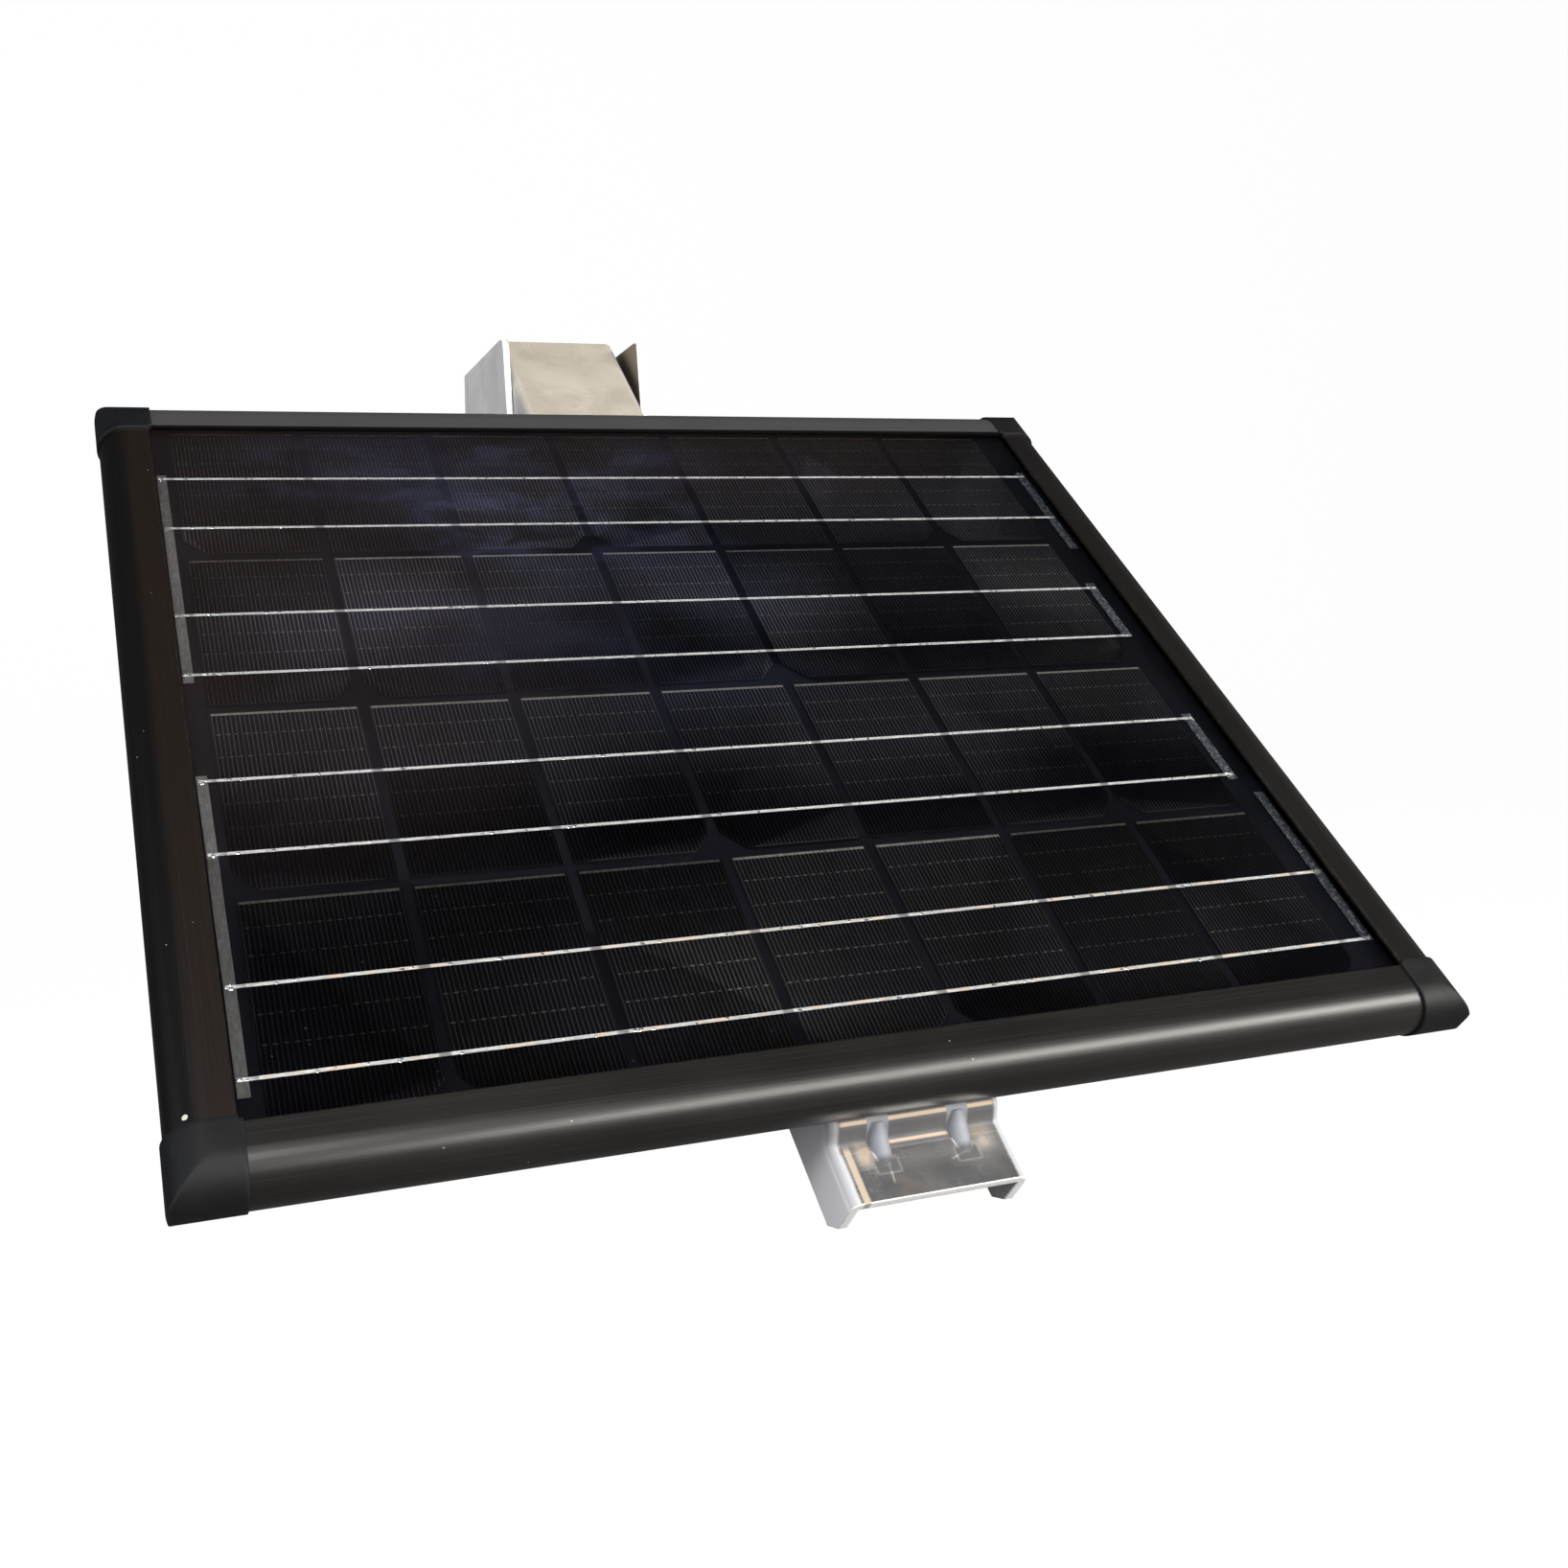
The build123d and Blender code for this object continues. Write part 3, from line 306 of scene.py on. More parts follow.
# ------------------------------------------------------------------ glass and cells
def encapsulant():
    """Clear layer under the glass, faintly cloudy; its gloss is mixed in at zero."""
    m = Material("encapsulant_clear")
    tint = (0.985, 0.985, 0.985)
    haze = m.noise(scale=0.02, detail=4, rough=0.6)
    colour = m.mix(tint, to=shade(tint, gain=0.97), by=haze.step(zero=0.3, one=0.8))
    clear = m.node("BsdfTransparent", {0: colour})
    gloss = m.principled((0.5, 0.5, 0.5), rough=0.4,
                         normal=m.bump(haze, strength=0.1, depth=0.0001))
    return m.finish(m.mix_shader(clear, to=gloss, by=0.0))


def cover_glass():
    """Clear cover glass with a Fresnel reflection, prints, wipe marks and a dust film."""
    m = Material("cover_glass")
    x, y, _ = m.axes
    wipe = m.noise(stretch=(0.006, 0.03, 0.03), detail=6, rough=0.65, warp=0.4)
    prints = m.noise(stretch=(0.028, 0.060, 0.04), detail=8, rough=0.66, warp=0.35)
    fog = m.noise(stretch=(0.012, 0.022, 0.02), detail=4, rough=0.55)

    def zone(centre, radii, amount):
        """Soft ellipse on the panel."""
        across = (x - centre[0]) / radii[0]
        along = (y - centre[1]) / radii[1]
        return (across * across + along * along).step(zero=1.4, one=0.0) * amount

    rear_zone = (zone(centre=(-70.0, 118.0), radii=(120.0, 36.0), amount=1.0)
                 | zone(centre=(35.0, 122.0), radii=(70.0, 26.0), amount=0.45))
    middle_zone = zone(centre=(-50.0, 30.0), radii=(115.0, 62.0), amount=1.0)
    blot_zone = (zone(centre=(-72.0, 84.0), radii=(34.0, 26.0), amount=0.9)
                 | zone(centre=(-20.0, 78.0), radii=(60.0, 30.0), amount=0.4))
    streaks = prints.step(zero=0.46, one=0.70) * rear_zone
    veil = fog.step(zero=0.35, one=0.75) * (rear_zone | middle_zone)
    blots = prints.step(zero=0.40, one=0.62) * blot_zone
    # each weight is the share of diffuse haze that mark adds
    haze = streaks * 0.026 + veil * 0.020 + wipe.step(zero=0.5, one=0.8) * 0.003
    haze = haze + blots * 0.040
    # warm film over the rear left
    film_zone = (zone(centre=(-190.0, 70.0), radii=(165.0, 165.0), amount=1.0)
                 | zone(centre=(-40.0, 150.0), radii=(240.0, 62.0), amount=0.8))
    film = film_zone * fog.linear(low=0.016, high=0.025)
    never_zero = 0.0005           # keeps the division defined on clean glass
    film_share = film / (film + haze + never_zero)
    dust = m.voronoi(scale=0.16).step(zero=0.05, one=0.03) * 0.10

    clear = m.node("BsdfTransparent", {0: (0.965, 0.975, 0.975)})
    marks = m.node("BsdfDiffuse", {
        0: m.mix((0.24, 0.31, 0.64), to=(0.33, 0.235, 0.20), by=film_share)})
    body = m.mix_shader(clear, to=marks, by=haze + film + dust)
    gloss = m.node("BsdfGlossy", {
        "Color": (1, 1, 1),
        "Roughness": prints.linear(low=0.04, high=0.12, start=0.3, end=0.8),
        "Normal": m.bump(wipe, strength=0.02, depth=0.0002)})
    fresnel = m.node("Fresnel", {"IOR": 1.38})
    return m.finish(m.mix_shader(body, to=gloss, by=fresnel * 0.75))


def mono_cell():
    """Near-black cell with fine printed fingers, dashed ties and a dotted rear line."""
    m = Material("mono_cell")
    x, y, _ = m.axes
    # place in the cell: from its left edge, and from its rear edge toward the front
    across = (x + HALF_RUN) % CELL_PITCH - (CELL_PITCH - CELL_WIDTH) / 2
    down = (REAR_EDGE_Y - y) % ROW_PITCH
    column = m.math("FLOOR", (x + HALF_RUN) / CELL_PITCH)
    row = m.math("FLOOR", (REAR_EDGE_Y - y) / ROW_PITCH)
    cell_id = m.node("CombineXYZ", {0: column, 1: row})
    per_cell = m.node("TexWhiteNoise", {"Vector": cell_id}, "Value")

    # fingers
    off_finger = abs(m.math("FRACT", across / FINGER_PITCH) - 0.5) * FINGER_PITCH
    ink = m.noise(stretch=(0.63, 0.10, 1), detail=2).linear(low=0.6, high=1.0)
    fingers = off_finger.step(zero=0.20, one=0.10) * ink
    inside_x = (across.step(zero=0.5, one=0.8)
                * across.step(zero=CELL_WIDTH - 0.5, one=CELL_WIDTH - 0.8))
    inside_y = (down.step(zero=0.5, one=0.9)
                * down.step(zero=CELL_DEPTH - 0.8, one=CELL_DEPTH - 1.2))
    front_fade = y.linear(low=0.50, high=1.0, start=-150.0, end=10.0)
    fingers = fingers * inside_x * (inside_y * front_fade)

    # dashed ties across the fingers, none at the third place, where the tab ribbon is
    dashes = m.math("FRACT", across / (FINGER_PITCH * 2)).step(zero=0.42, one=0.50)
    breaks = m.noise(stretch=(0.5, 0.05, 1), detail=2).step(zero=0.36, one=0.44)
    tie = [down.band(centre=TIE_PITCH * n, half=0.18, soft=0.12) for n in (1, 2, 4, 5)]
    ties = (tie[0] | tie[1] | tie[2] | tie[3]) * dashes * inside_x * breaks

    # dotted line at the rear, faint painted highlight along the front edge
    dots = m.noise(stretch=(2.2, 0.2, 1), detail=2)
    dots = dots.linear(low=0.50, high=1.0, start=0.35, end=0.65)
    rear = down.band(centre=0.85, half=0.42, soft=0.16) * inside_x * dots
    front = down.band(centre=CELL_DEPTH - 0.9, half=0.10, soft=0.1) * inside_x * 0.7

    # silicon
    cloud = m.noise(scale=0.014, detail=4, rough=0.6)
    # painted sheen: bluer away from the front and the right end
    blue = y.step(zero=-120.0, one=0.0) * x.step(zero=230.0, one=60.0)
    colour = m.mix((0.0078, 0.0074, 0.0084), to=(0.0235, 0.0235, 0.0400), by=blue)
    colour = m.mix(colour, to=(0.0100, 0.0115, 0.0250),
                   by=cloud.step(zero=0.35, one=0.65) * 0.5)
    brown = m.noise(scale=0.02, detail=4, rough=0.6, warp=0.8).step(zero=0.5, one=0.75)
    colour = m.mix(colour, to=(0.0170, 0.0120, 0.0105), by=brown * 0.5)
    # painted sheen: lighter toward the rear
    colour = m.mix(colour, to=(0.0250, 0.0215, 0.0290), by=y.step(zero=50.0, one=110.0) * 0.7)
    colour = m.mix(colour, to=(0.0085, 0.0085, 0.0105), by=per_cell * 0.12)
    grain = m.noise(scale=2.5, rough=0.7)
    colour = m.mix(colour, to=(0.02, 0.02, 0.025), by=grain * 0.12)
    # print, with painted highlights on the front and outer edges
    colour = m.mix(colour, to=(0.36, 0.34, 0.335), by=fingers * 0.9)
    colour = m.mix(colour, to=(0.34, 0.33, 0.30), by=ties * 0.85)
    colour = m.mix(colour, to=(0.27, 0.24, 0.25), by=front * 0.8)
    # painted highlight along the cell's outer edges and chamfers
    edge = m.edge(radius=0.0004, zero=0.02, one=0.2)
    colour = m.mix(colour, to=(0.26, 0.235, 0.24), by=edge * 0.45)
    colour = m.mix(colour, to=(1.0, 0.94, 0.84), by=rear)

    metal = (rear | ties) * 0.4
    height = (fingers | (ties | rear)) + grain * 0.1
    return m.finish(m.principled(
        colour, rough=cloud.linear(low=0.32, high=0.45), metal=metal,
        normal=m.bump(height, strength=0.15, depth=0.00003), spec=0.25))


def backsheet_navy():
    m = Material("backsheet_navy")
    broad = m.noise(scale=0.03, detail=4, rough=0.6)
    weave = m.noise(scale=2.2, rough=0.6)
    base = m.mix((0.0095, 0.0095, 0.0170), to=(0.0135, 0.0135, 0.0225), by=broad.step())
    base = m.mix(base, to=(0.012, 0.013, 0.02), by=weave.step(zero=0.6, one=0.8) * 0.3)
    return m.finish(m.principled(
        base, rough=broad.linear(low=0.42, high=0.6),
        normal=m.bump(weave, strength=0.12, depth=0.0001), spec=0.3))


# ------------------------------------------------------------------ ribbons
def ribbon(name, paint, stretch, relief):
    """Tinned ribbon. paint gives its colour, roughness and metal from two noises."""
    m = Material(name)
    streaks = m.noise(stretch=stretch, detail=5, rough=0.7, warp=0.6)
    mottle = m.noise(scale=0.9, detail=4, rough=0.7)
    dents = m.voronoi(stretch=(0.6, 0.35, 1))
    base, rough, metal = paint(m, streaks, mottle)
    height = streaks * 0.8 + (mottle * 0.4 + dents * 0.4)
    normal = m.bump(height, strength=relief, depth=0.0003)
    return m.finish(m.principled(base, rough=rough, metal=metal, normal=normal, spec=0.5))


def tab_paint(m, streaks, mottle):
    """Bright tab, with a painted warm reflection toward the front and painted glints."""
    x, y, _ = m.axes
    patches = m.noise(stretch=(0.12, 0.05, 1)).step(zero=0.48, one=0.62)
    # painted warm reflection toward the front
    warm = y.step(zero=-60.0, one=-150.0) * patches
    base = m.mix((0.46, 0.46, 0.47), to=(0.95, 0.94, 0.92), by=streaks.step())
    base = m.mix(base, to=(0.95, 0.70, 0.52), by=warm * 0.6)
    # painted shade where the ribbon dives between two cells
    across = (x + HALF_RUN) % CELL_PITCH
    gap = (across.step(zero=1.8, one=0.9)
           | across.step(zero=CELL_PITCH - 3.2, one=CELL_PITCH - 1.6))
    between = abs(x).step(zero=199.0, one=194.0)
    base = m.mix(base, to=(0.06, 0.06, 0.07), by=gap * between * 0.62)
    # painted glints
    glints = mottle.step(zero=0.64, one=0.74)
    base = m.mix(base, to=(1.0, 0.98, 0.95), by=glints * 0.8)
    return base, streaks.linear(low=0.32, high=0.5), 0.25


def left_bus_paint(m, streaks, mottle):
    base = m.mix((0.20, 0.19, 0.185), to=(0.33, 0.315, 0.305), by=streaks.step())
    base = m.mix(base, to=(0.22, 0.21, 0.20), by=mottle.step(zero=0.55, one=0.7) * 0.5)
    return base, mottle.linear(low=0.45, high=0.65), 0.35


def right_bus_paint(m, streaks, mottle):
    base = m.mix((0.10, 0.115, 0.15), to=(0.30, 0.33, 0.38),
                 by=streaks.step(zero=0.35, one=0.65))
    # bright patches: painted glints on the crinkled ribbon
    base = m.mix(base, to=(0.88, 0.90, 0.93), by=mottle.step(zero=0.50, one=0.62) * 0.9)
    return base, mottle.linear(low=0.25, high=0.45), 0.6


# ------------------------------------------------------------------ brackets
def bracket(name, detail, low, high, stretch, on_panel):
    """Mill-finish sheet: rolled grain, scratches and grime, then the bracket's own detail."""
    m = Material(name, on_panel)
    grain = m.noise(stretch=stretch, detail=5, rough=0.65)
    blotch = m.noise(scale=0.045, detail=5, rough=0.6, warp=0.6)
    fine = m.noise(scale=1.8, detail=4, rough=0.7)
    base = m.mix(low, to=high, by=blotch.step())
    base = m.mix(base, to=shade(high, gain=1.15), by=grain.step(zero=0.5, one=0.8) * 0.25)
    # scratches: thin bands of a stretched noise, in two directions
    one_way = m.noise(stretch=(0.03, 1.1, 1.1), detail=2, warp=0.3)
    other_way = m.noise(stretch=(0.9, 0.05, 0.2), detail=2, warp=0.4)
    scratches = (one_way.band(centre=0.5, half=0.004, soft=0.006)
                 | other_way.band(centre=0.47, half=0.004, soft=0.006))
    scratches = scratches * m.noise(scale=0.06).step(zero=0.48, one=0.6)
    base = m.mix(base, to=(0.95, 0.93, 0.90), by=scratches * 0.18)
    grime = m.noise(scale=0.12, detail=6, rough=0.7).step(zero=0.58, one=0.75) * 0.30
    base = m.mix(base, to=shade(low, gain=0.55), by=grime)
    edge = m.edge(radius=0.0010, zero=0.015, one=0.2)
    rough = (grain * 0.5 + blotch * 0.5).linear(low=0.42, high=0.58)

    sheet = SimpleNamespace(grain=grain, blotch=blotch, fine=fine, scratches=scratches, edge=edge)
    base, rough, metal = detail(m, base, rough, sheet)
    height = grain * 0.6 + (fine * 0.2 + scratches * -0.5)
    normal = m.bump(height, strength=0.12, depth=0.00012, bevel=0.0008)
    return m.finish(m.principled(base, rough=rough, metal=metal, normal=normal, spec=0.5))


def panel_bracket_detail(m, base, rough, sheet):
    """Chalky plate with painted highlights on its bends and edges; the low front tongue is
    polished, with painted dark reflections, painted shade and peach reflections.
    """
    x, y, z = m.axes
    blotch, edge = sheet.blotch, sheet.edge
    middle, half = 10.4, 31.6     # bracket centre line and half width
    gusset = 14.5                 # gussets, either side of the centre line
    off = abs(x - middle)

    def blotched(low, high):
        return m.mix(low, to=high, by=blotch)

    # painted highlight on the bends at the rear
    bend_highlight = off.step(zero=half - 4.4, one=half - 3.4) * y.step(zero=100.0, one=150.0)
    tongue = y.step(zero=-150.0, one=-182.0)
    web = tongue * off.step(zero=half - 2.4, one=half - 4.0)
    web = web * y.step(zero=-208.6, one=-208.3)
    base = m.mix(base, to=(0.48, 0.46, 0.43), by=bend_highlight * 0.45)
    base = m.mix(base, to=(0.93, 0.93, 0.96), by=tongue * 0.9)
    # painted shade on the tongue's bends
    tongue_bend_shade = off.step(zero=half - 5.0, one=half - 4.0)
    tongue_bend_shade = tongue_bend_shade * off.step(zero=half - 0.05, one=half - 0.5) * tongue
    tongue_bend_shade = tongue_bend_shade * y.step(zero=-208.6, one=-208.3)
    base = m.mix(base, to=(0.42, 0.42, 0.45), by=tongue_bend_shade * 0.75)
    side = off.step(zero=half - 0.5, one=half - 0.1) * (1.0 - tongue)
    base = m.mix(base, to=(0.50, 0.49, 0.51), by=side * 0.7)
    # painted highlight on the cut front edge, and faintly on the other edges away from the tongue
    cut_highlight = y.step(zero=-208.3, one=-208.7)
    base = m.mix(base, to=(0.98, 0.98, 0.98), by=cut_highlight | edge * 0.08 * (1.0 - tongue))
    patches = m.noise(stretch=(0.06, 0.05, 0.05), detail=4, rough=0.6, warp=0.5)
    patches = patches.step(zero=0.42, one=0.62)
    # painted dark reflection: the tongue's web is dark grey
    base = m.mix(base, to=blotched((0.27, 0.27, 0.28), (0.46, 0.45, 0.44)), by=web)
    base = m.mix(base, to=(0.85, 0.84, 0.82), by=web * sheet.scratches * 0.5)

    # two scores by the gusset feet, warm brown patches toward the front left
    wobble = (sheet.fine - 0.5) * 1.2
    cross_score = (y + x * -0.3 + wobble).band(centre=-204.6, half=0.16, soft=0.25)
    cross_score = cross_score * x.band(centre=23.0, half=4.0, soft=1.0)
    long_score = (x + y * -0.11 + wobble).band(centre=18.3, half=0.20, soft=0.35)
    long_score = long_score * y.band(centre=-199.5, half=3.5, soft=1.0)
    warm_patch = patches.step(zero=0.3, one=0.9) * (
        y.step(zero=-196.0, one=-203.0) * x.step(zero=16.0, one=-6.0))
    base = m.mix(base, to=(0.50, 0.42, 0.34), by=warm_patch * web * 0.55)
    base = m.mix(base, to=(0.92, 0.88, 0.80), by=(cross_score | long_score) * web)
    # painted dark reflection on the riser between the two bends
    riser_dark_reflection = y.step(zero=-192.6, one=-191.8) * y.step(zero=-182.5, one=-183.5)
    riser_dark_reflection = riser_dark_reflection * web
    base = m.mix(base, to=blotched((0.05, 0.05, 0.055), (0.12, 0.12, 0.125)), by=riser_dark_reflection * 0.9)

    # peach reflections: strip along the left bend, two bend lines, two soft spots
    strip = (x.band(centre=middle - half + 5.4, half=0.7, soft=0.9)
             * y.step(zero=-189.0, one=-192.0))
    rear_line = (y.band(centre=-184.9, half=0.30, soft=0.5)
                 * x.band(centre=middle, half=27.0, soft=2.0))
    front_line = (y.band(centre=-190.2, half=0.30, soft=0.5)
                  * x.band(centre=middle, half=10.0, soft=1.5))
    left_spot = (x.band(centre=middle - 20.5, half=1.0, soft=4.0)
                 * y.band(centre=-193.5, half=1.5, soft=4.5))
    right_spot = (x.band(centre=middle + 22.0, half=1.5, soft=4.5)
                  * y.band(centre=-193.5, half=1.5, soft=4.5))
    spots = (left_spot | right_spot) * patches.linear(low=0.35, high=1.0, start=0.0, end=1.0)
    peach = ((strip * 0.9 | spots * 0.8) | (rear_line | front_line)) * tongue
    base = m.mix(base, to=(0.52, 0.41, 0.31), by=peach)

    # the gussets painted a darker blue-grey as soft shade, and the painted shadow on the web just
    # behind their front ends
    def at_gussets(half, soft):
        return (x.band(centre=middle - gusset, half=half, soft=soft)
                | x.band(centre=middle + gusset, half=half, soft=soft))

    gussets = at_gussets(half=3.6, soft=0.6) * y.step(zero=-203.0, one=-202.0)
    gussets = gussets * z.step(zero=-24.95, one=-24.55)
    gussets = gussets * tongue
    base = m.mix(base, to=blotched((0.19, 0.20, 0.23), (0.28, 0.29, 0.32)), by=gussets)
    shadow = at_gussets(half=3.4, soft=1.6) * y.step(zero=-200.8, one=-199.6)
    shadow = shadow * (y.step(zero=-194.0, one=-196.5) * web)
    base = m.mix(base, to=blotched((0.035, 0.035, 0.037), (0.075, 0.075, 0.078)),
                 by=shadow * 0.9)

    dull = gussets | riser_dark_reflection | shadow
    metal = m.mix_value(0.15, to=0.85, by=web)
    metal = m.mix_value(metal, to=0.25, by=peach)
    metal = m.mix_value(metal, to=0.2, by=dull)
    rough = m.mix_value(rough, to=blotch.linear(low=0.22, high=0.34), by=web)
    rough = m.mix_value(rough, to=0.55, by=peach | edge * tongue)
    rough = m.mix_value(rough, to=0.62, by=dull)
    return base, rough, metal


def pole_bracket_detail(m, base, rough, sheet):
    """Painted shade on the inner faces and beside the rear bend, and a painted highlight on the
    front edge.
    """
    x, y, z = m.axes
    # inner faces painted browner as shade, and painted near black as shade where the gap beside
    # the panel bracket closes in
    inner = abs(x).step(zero=34.9, one=34.6) * y.step(zero=-2.0, one=-6.0)
    openness = m.node("AmbientOcclusion", {"Distance": 0.012}, "AO", samples=6)
    brown = m.mix((0.20, 0.165, 0.12), to=(0.34, 0.29, 0.22), by=sheet.blotch)
    base = m.mix(base, to=brown, by=inner)
    closed = openness.linear(low=1.0, high=0.0, start=0.20, end=0.75)
    base = m.mix(base, to=(0.004, 0.0035, 0.003), by=inner * closed)
    # painted shade: a faint dark line beside the rear bend
    bend_shade_line = y.band(centre=-8.5, half=0.5, soft=0.7) * z.step(zero=50.0, one=46.0)
    bend_shade_line = bend_shade_line * sheet.grain.step(zero=0.35, one=0.6) * 0.35
    base = m.mix(base, to=(0.30, 0.28, 0.26), by=bend_shade_line)
    # painted highlight on the front edge, which leans with height, and more faintly along every
    # edge
    lean, lean_from = -0.1463, 24.0
    lip = (y + (z - lean_from) * lean).step(zero=-80.6, one=-81.4)
    lip = lip * z.step(zero=24.0, one=25.0)
    base = m.mix(base, to=(1.0, 0.99, 0.96), by=sheet.edge * 0.55 | lip)
    return base, rough, 0.12


# ------------------------------------------------------------------ small part materials
def zinc_steel():
    m = Material("zinc_steel", on_panel=False)
    broad = m.noise(scale=0.5, detail=5, rough=0.65)
    fine = m.noise(scale=3.0, rough=0.7)
    base = m.mix((0.42, 0.42, 0.42), to=(0.66, 0.66, 0.64), by=broad.step())
    stain = m.noise(scale=0.25, detail=5, rough=0.7).step(zero=0.58, one=0.75)
    base = m.mix(base, to=(0.30, 0.26, 0.21), by=stain * 0.5)
    # painted highlight along the edges
    base = m.mix(base, to=(0.85, 0.85, 0.84), by=m.edge(radius=0.0005) * 0.5)
    normal = m.bump(fine, strength=0.15, depth=0.0001, bevel=0.0004)
    return m.finish(m.principled(
        base, rough=broad.linear(low=0.28, high=0.5), metal=1.0, normal=normal))


def plastic(name, low, high, rough=(0.45, 0.62), grain=3.0, relief=0.2):
    """Plastic or rubber with pale specks and painted edge highlights; rough is its range of
    roughness.
    """
    m = Material(name)
    broad = m.noise(scale=0.06, detail=4, rough=0.6)
    texture = m.noise(scale=grain, rough=0.7)
    base = m.mix(low, to=high, by=broad.step())
    specks = m.noise(scale=0.5, detail=6, rough=0.75).step(zero=0.6, one=0.78)
    base = m.mix(base, to=shade(high, gain=2.6, lift=0.02), by=specks * 0.4)
    # painted highlight along the edges
    base = m.mix(base, to=shade(high, gain=2.2, lift=0.02), by=m.edge(radius=0.0008) * 0.4)
    return m.finish(m.principled(
        base, rough=broad.linear(low=rough[0], high=rough[1]),
        normal=m.bump(texture, strength=relief, depth=0.0001, bevel=0.0006)))


def tinned_copper():
    m = Material("tinned_copper")
    tin = m.noise(scale=0.4, detail=5, rough=0.65)
    base = m.mix((0.62, 0.40, 0.24), to=(0.72, 0.66, 0.58), by=tin.step(zero=0.35, one=0.65))
    return m.finish(m.principled(
        base, rough=tin.linear(low=0.28, high=0.45), metal=1.0,
        normal=m.bump(tin, strength=0.2, depth=0.0001)))


def solder_metal():
    m = Material("solder")
    lumps = m.noise(scale=1.2, detail=4, rough=0.7)
    base = m.mix((0.55, 0.55, 0.56), to=(0.95, 0.94, 0.92), by=lumps.step())
    return m.finish(m.principled(
        base, rough=lumps.linear(low=0.15, high=0.35), metal=0.8,
        normal=m.bump(lumps, strength=0.4, depth=0.0002)))


rail_x = anodised("anodised_x", along_x=True)
rail_y = anodised("anodised_y", along_x=False)
cap = cap_plastic()
glass = cover_glass()
clear_layer = encapsulant()
cell = mono_cell()
tab = ribbon("tab_ribbon", tab_paint, stretch=(0.35, 2.0, 1), relief=0.5)
bus_left = ribbon("bus_left", left_bus_paint, stretch=(0.9, 0.30, 1), relief=0.6)
bus_right = ribbon("bus_right", right_bus_paint, stretch=(0.9, 0.30, 1), relief=1.0)
backsheet = backsheet_navy()
panel_sheet = bracket(
    "panel_bracket_sheet", panel_bracket_detail, on_panel=True,
    low=(0.365, 0.328, 0.270), high=(0.445, 0.405, 0.343), stretch=(0.10, 1.6, 1.6))
pole_sheet = bracket(
    "pole_bracket_sheet", pole_bracket_detail, on_panel=False,
    low=(0.76, 0.74, 0.74), high=(0.90, 0.88, 0.88), stretch=(1.4, 1.4, 0.10))
steel = zinc_steel()
box = plastic("box_plastic", low=(0.012, 0.012, 0.013), high=(0.022, 0.022, 0.024))
rubber = plastic("cable_rubber", low=(0.010, 0.010, 0.010), high=(0.020, 0.020, 0.021),
                 rough=(0.55, 0.75), grain=5.0, relief=0.3)
sealing = plastic("sealing_tape", low=(0.010, 0.010, 0.010), high=(0.016, 0.016, 0.017),
                  rough=(0.6, 0.8), grain=2.0, relief=0.4)
nylon = plastic("nylon_white", low=(0.60, 0.58, 0.52), high=(0.70, 0.68, 0.62),
                rough=(0.4, 0.55), grain=2.0, relief=0.1)
copper = tinned_copper()
solder = solder_metal()

# material, then the CAD pieces that wear it
LOOKS = (
    (rail_x, "rail_front rail_rear"),
    (rail_y, "rail_left rail_right"),
    (cap, "cap_front_left cap_front_right cap_rear_left cap_rear_right"),
    (glass, "glass"),
    (clear_layer, "encapsulant_front encapsulant_rear"),
    (cell, "cells_row_1 cells_row_2 cells_row_3 cells_row_4"),
    (tab, "tabbing_row_1 tabbing_row_2 tabbing_row_3 tabbing_row_4"),
    (bus_left, "bus_ribbons_left"),
    (bus_right, "bus_ribbons_right"),
    (backsheet, "backsheet"),
    (sealing, "edge_sealant junction_box_adhesive"),
    (box, "junction_box_base junction_box_lid bypass_diodes cable_gland cable_plug"),
    (rubber, "junction_box_seal cable"),
    (copper, "junction_terminals"),
    (panel_sheet, "panel_bracket"),
    (pole_sheet, "pole_bracket"),
    (nylon, "pivot_spacers"),
    (steel, "junction_box_screws bracket_screws bracket_washers pivot_bolt pivot_washers "
            "pivot_nut lock_bolt lock_washers lock_wing_nut"),
)
look_of = {name: look for look, names in LOOKS for name in names.split()}
for name, piece in nodes.items():
    piece.data.materials.clear()
    piece.data.materials.append(look_of[name])


# ------------------------------------------------------------------ added pieces
def smooth_object(name, verts, faces, material):
    mesh = bpy.data.meshes.new(name)
    mesh.from_pydata([tuple(v) for v in verts], [], faces)
    mesh.materials.append(material)
    for face in mesh.polygons:
        face.use_smooth = True
    made = bpy.data.objects.new(name, mesh)
    scene.collection.objects.link(made)
    return made


def ribbon_piece(name, verts, faces, material):
    made = smooth_object(name, verts, faces, material)
    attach(made, "panel")


BEAD_SIDES = 10
BEAD_RINGS = ((1.0, 0.0), (0.72, 0.62), (0.36, 0.92))     # share of radius, share of height


def add_bead(verts, faces, x, y, z, radius_x, radius_y, height):
    """Low solder bead: a small dome with an uneven rim. Each size is a range to draw from."""
    radius_x, radius_y = random.uniform(*radius_x), random.uniform(*radius_y)
    height = random.uniform(*height)
    turn = random.uniform(0, 6)
    first, n = len(verts), BEAD_SIDES
    for reach, rise in BEAD_RINGS:
        for i in range(n):
            a = 2 * math.pi * i / n
            k = reach * (1 + 0.18 * math.sin(3 * a + turn) + 0.1 * math.sin(5 * a + 2 * turn))
            verts.append(at(x + k * radius_x * math.cos(a), y + k * radius_y * math.sin(a),
                            z + height * rise))
    verts.append(at(x, y, z + height))
    for low in (first, first + n):
        for i in range(n):
            j = (i + 1) % n
            faces.append((low + i, low + j, low + n + j, low + n + i))
    top = first + 2 * n
    for i in range(n):
        faces.append((top + i, top + (i + 1) % n, top + n))


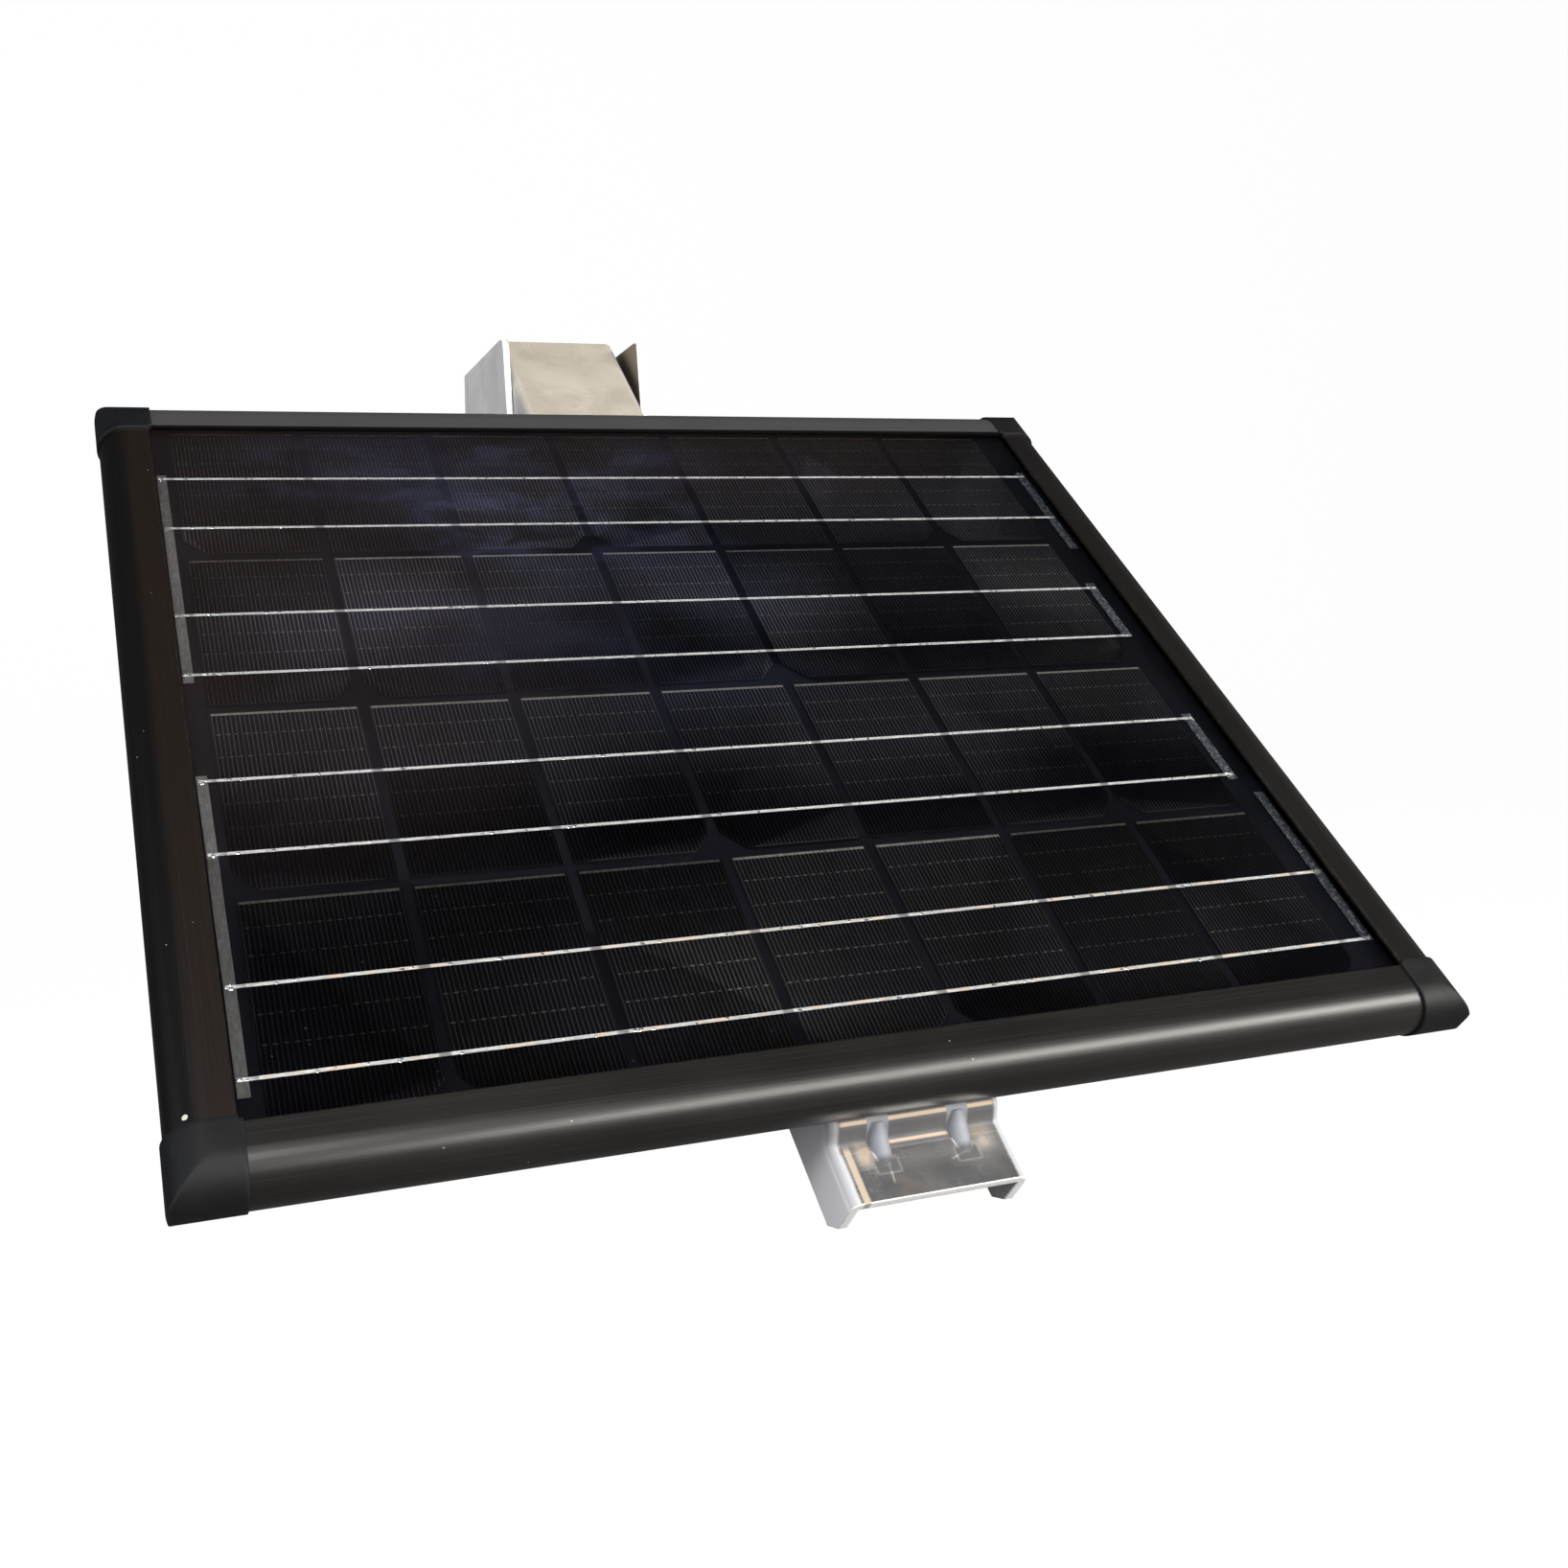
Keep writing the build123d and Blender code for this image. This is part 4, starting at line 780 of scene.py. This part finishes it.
# row and y of every tab ribbon, rear to front
TAB_LINES = [(row, FIRST_TAB_Y - row * ROW_PITCH - offset)
             for row in range(ROWS) for offset in (0.0, TAB_SPACING)]
BUS_JOINT_LEFT_X = -199.4
BUS_JOINT_RIGHT_X = (205.8, 199.8, 199.8, 206.9)          # one per row


def tab_beads():
    """Beads scattered along the tab ribbons, cell by cell."""
    bead_start = 1.9              # from the left end of a cell pitch
    verts, faces = [], []
    for _, y in TAB_LINES:
        for column in range(COLUMNS):
            start = (column - COLUMNS / 2) * CELL_PITCH + bead_start
            for _ in range(random.randint(3, 7)):
                add_bead(verts, faces, x=start + random.uniform(1, 51),
                         y=y + random.uniform(-0.3, 0.3), z=TAB_TOP,
                         radius_x=(0.3, 1.0), radius_y=(0.3, 0.62), height=(0.05, 0.16))
    ribbon_piece("tab_solder_beads", verts, faces, solder)


def bus_joints():
    """Joints where the tabs cross the end bus ribbons."""
    verts, faces = [], []
    for row, y in TAB_LINES:
        for x in (BUS_JOINT_LEFT_X, BUS_JOINT_RIGHT_X[row]):
            for _ in range(4):
                add_bead(verts, faces, x=x + random.uniform(-1.6, 1.6),
                         y=y + random.uniform(-0.9, 0.9), z=TAB_TOP - 0.06,
                         radius_x=(0.5, 1.1), radius_y=(0.4, 0.9), height=(0.08, 0.2))
    ribbon_piece("bus_solder_joints", verts, faces, solder)


def crinkled(name, right_x, rear_y, front_y, depth, width, material):
    """Wavy, dented surface laid over a flat end bus ribbon."""
    base_z, inset = -1.76, 0.05
    across, along = 8, max(12, int((rear_y - front_y) * 1.6))
    phase = random.uniform(0, 6)
    verts, faces = [], []
    for j in range(along + 1):
        y = rear_y - (rear_y - front_y) * j / along
        sway = 0.25 * math.sin(y * 0.11 + phase) * 0.2
        for i in range(across + 1):
            u = i / across
            x = right_x - width * (1 - u) - inset + sway
            ripple = 0.5 + 0.5 * math.sin(y * 1.3 + 4 * u + phase)
            swell = 0.5 + 0.5 * math.sin(y * 0.37 + 2.1 * phase)
            dent = 0.6 * random.random()
            verts.append(at(x, y, base_z + depth * (ripple * swell + dent)))
    stride = across + 1
    for j in range(along):
        for i in range(across):
            a = j * stride + i
            faces.append((a, a + stride, a + stride + 1, a + 1))
    ribbon_piece(name, verts, faces, material)


# right edge x, rear y, front y of each bus ribbon
RIGHT_BUSES = ((208.1, 125.0, 68.2), (202.1, 44.0, 8.9),
               (202.1, -38.2, -74.4), (209.2, -81.8, -154.2))
LEFT_BUSES = ((-197.5, 124.5, 5.6), (-197.5, -38.2, -159.0))

tab_beads()
bus_joints()
for k, place in enumerate(RIGHT_BUSES, 1):
    crinkled(f"bus_right_surface_{k}", *place, depth=0.10, width=4.5, material=bus_right)
for k, place in enumerate(LEFT_BUSES, 1):
    crinkled(f"bus_left_surface_{k}", *place, depth=0.03, width=3.7, material=bus_left)


# ------------------------------------------------------------------ stage
def studio_paper():
    """Pale to the camera, dim in reflections and bounces, like a floor outside the light."""
    m = Material("studio_paper", on_panel=False)
    camera_ray = m.node("LightPath", output="Is Camera Ray")
    pale = m.mix((0.90, 0.90, 0.90), to=(0.94, 0.94, 0.94), by=m.noise(scale=0.004, rough=0.6))
    base = m.mix((0.16, 0.16, 0.165), to=pale, by=camera_ray)
    normal = m.bump(m.noise(scale=0.5), strength=0.02, depth=0.0005)
    paper = m.principled(base, rough=0.9, normal=normal, spec=0.1)
    glow = m.node("Emission", {"Color": (1, 1, 1), "Strength": 1.04})
    return m.finish(m.mix_shader(paper, to=glow, by=camera_ray * 0.93))


def studio_floor():
    """Floor that curves up into a back wall, in metres."""
    half_width, front_y, curve_y, radius, top_z, steps = 7, -6.0, 2.2, 1.6, 5.0, 24
    profile = [(front_y, FLOOR_Z)]
    for i in range(steps + 1):
        a = math.pi / 2 * i / steps
        profile.append((curve_y + radius * math.sin(a), FLOOR_Z + radius * (1 - math.cos(a))))
    profile.append((curve_y + radius, top_z))
    verts = [(x, y, z) for y, z in profile for x in (-half_width, half_width)]
    faces = [(2 * i, 2 * i + 1, 2 * i + 3, 2 * i + 2) for i in range(len(profile) - 1)]
    smooth_object("studio_floor", verts, faces, studio_paper())


def studio_world():
    """Grey below and at the horizon, darker overhead; white to the camera."""
    world = bpy.data.worlds.new("studio")
    scene.world = world
    world.use_nodes = True
    g = Graph(world.node_tree)
    direction = g.node("TexCoord", output="Generated")
    height = g.node("SeparateXYZ", {0: direction}, "Z")
    sky = g.node("ValToRGB", {0: height})
    stops = sky.socket.node.color_ramp.elements
    stops[0].position, stops[0].color = 0.0, (0.22, 0.22, 0.225, 1)
    stops[1].position, stops[1].color = 1.0, (0.045, 0.048, 0.062, 1)
    stops.new(0.35).color = (0.20, 0.20, 0.205, 1)
    stops.new(0.72).color = (0.075, 0.078, 0.09, 1)
    camera_ray = g.node("LightPath", output="Is Camera Ray")
    colour = g.mix(sky, to=(1, 1, 1), by=camera_ray)
    g.output("World", g.node("Background", {"Color": colour, "Strength": 0.8}))


def area_light(name, place, size, power, colour):
    """Rectangular light aimed at the panel; metres and watts."""
    target = Vector((0.0, -0.28, -0.09))
    data = bpy.data.lights.new(name, "AREA")
    data.shape = "RECTANGLE"
    data.size, data.size_y = size
    data.energy = power
    data.color = colour
    light = bpy.data.objects.new(name, data)
    light.location = place
    light.rotation_euler = (target - Vector(place)).to_track_quat("-Z", "Y").to_euler()
    scene.collection.objects.link(light)


def add_camera():
    """Camera above the front left of the panel, placed in the panel frame."""
    place = (-249.800, -391.525, 394.284)
    axes = (
        (0.945203, -0.260225, 0.197166),     # right
        (0.037162, 0.685737, 0.726900),      # up
        (-0.324362, -0.679741, 0.657831),    # back
    )
    turn = Matrix([PANEL_TURN @ Vector(axis) for axis in axes]).transposed()
    data = bpy.data.cameras.new("camera")
    data.sensor_fit = "HORIZONTAL"
    data.sensor_width = 36.0
    data.lens = 35.805917
    data.shift_x = 0.13619071
    data.shift_y = -0.089086797
    data.clip_start = 0.01
    camera = bpy.data.objects.new("camera", data)
    camera.matrix_world = Matrix.Translation(at(*place)) @ turn.to_4x4()
    scene.collection.objects.link(camera)
    scene.camera = camera


studio_floor()
studio_world()
area_light("key_front", place=(1.5, -2.35, 0.62), size=(2.4, 0.45), power=102,
           colour=(1.0, 0.975, 0.92))
area_light("top_front", place=(-0.6, -2.0, 1.7), size=(1.4, 0.7), power=56,
           colour=(1.0, 0.995, 0.99))
area_light("fill_left", place=(-2.4, -0.9, 0.5), size=(1.0, 1.0), power=24,
           colour=(0.95, 0.975, 1.0))
add_camera()

scene.view_settings.view_transform = "Standard"
scene.view_settings.look = "None"
scene.view_settings.exposure = 0.0
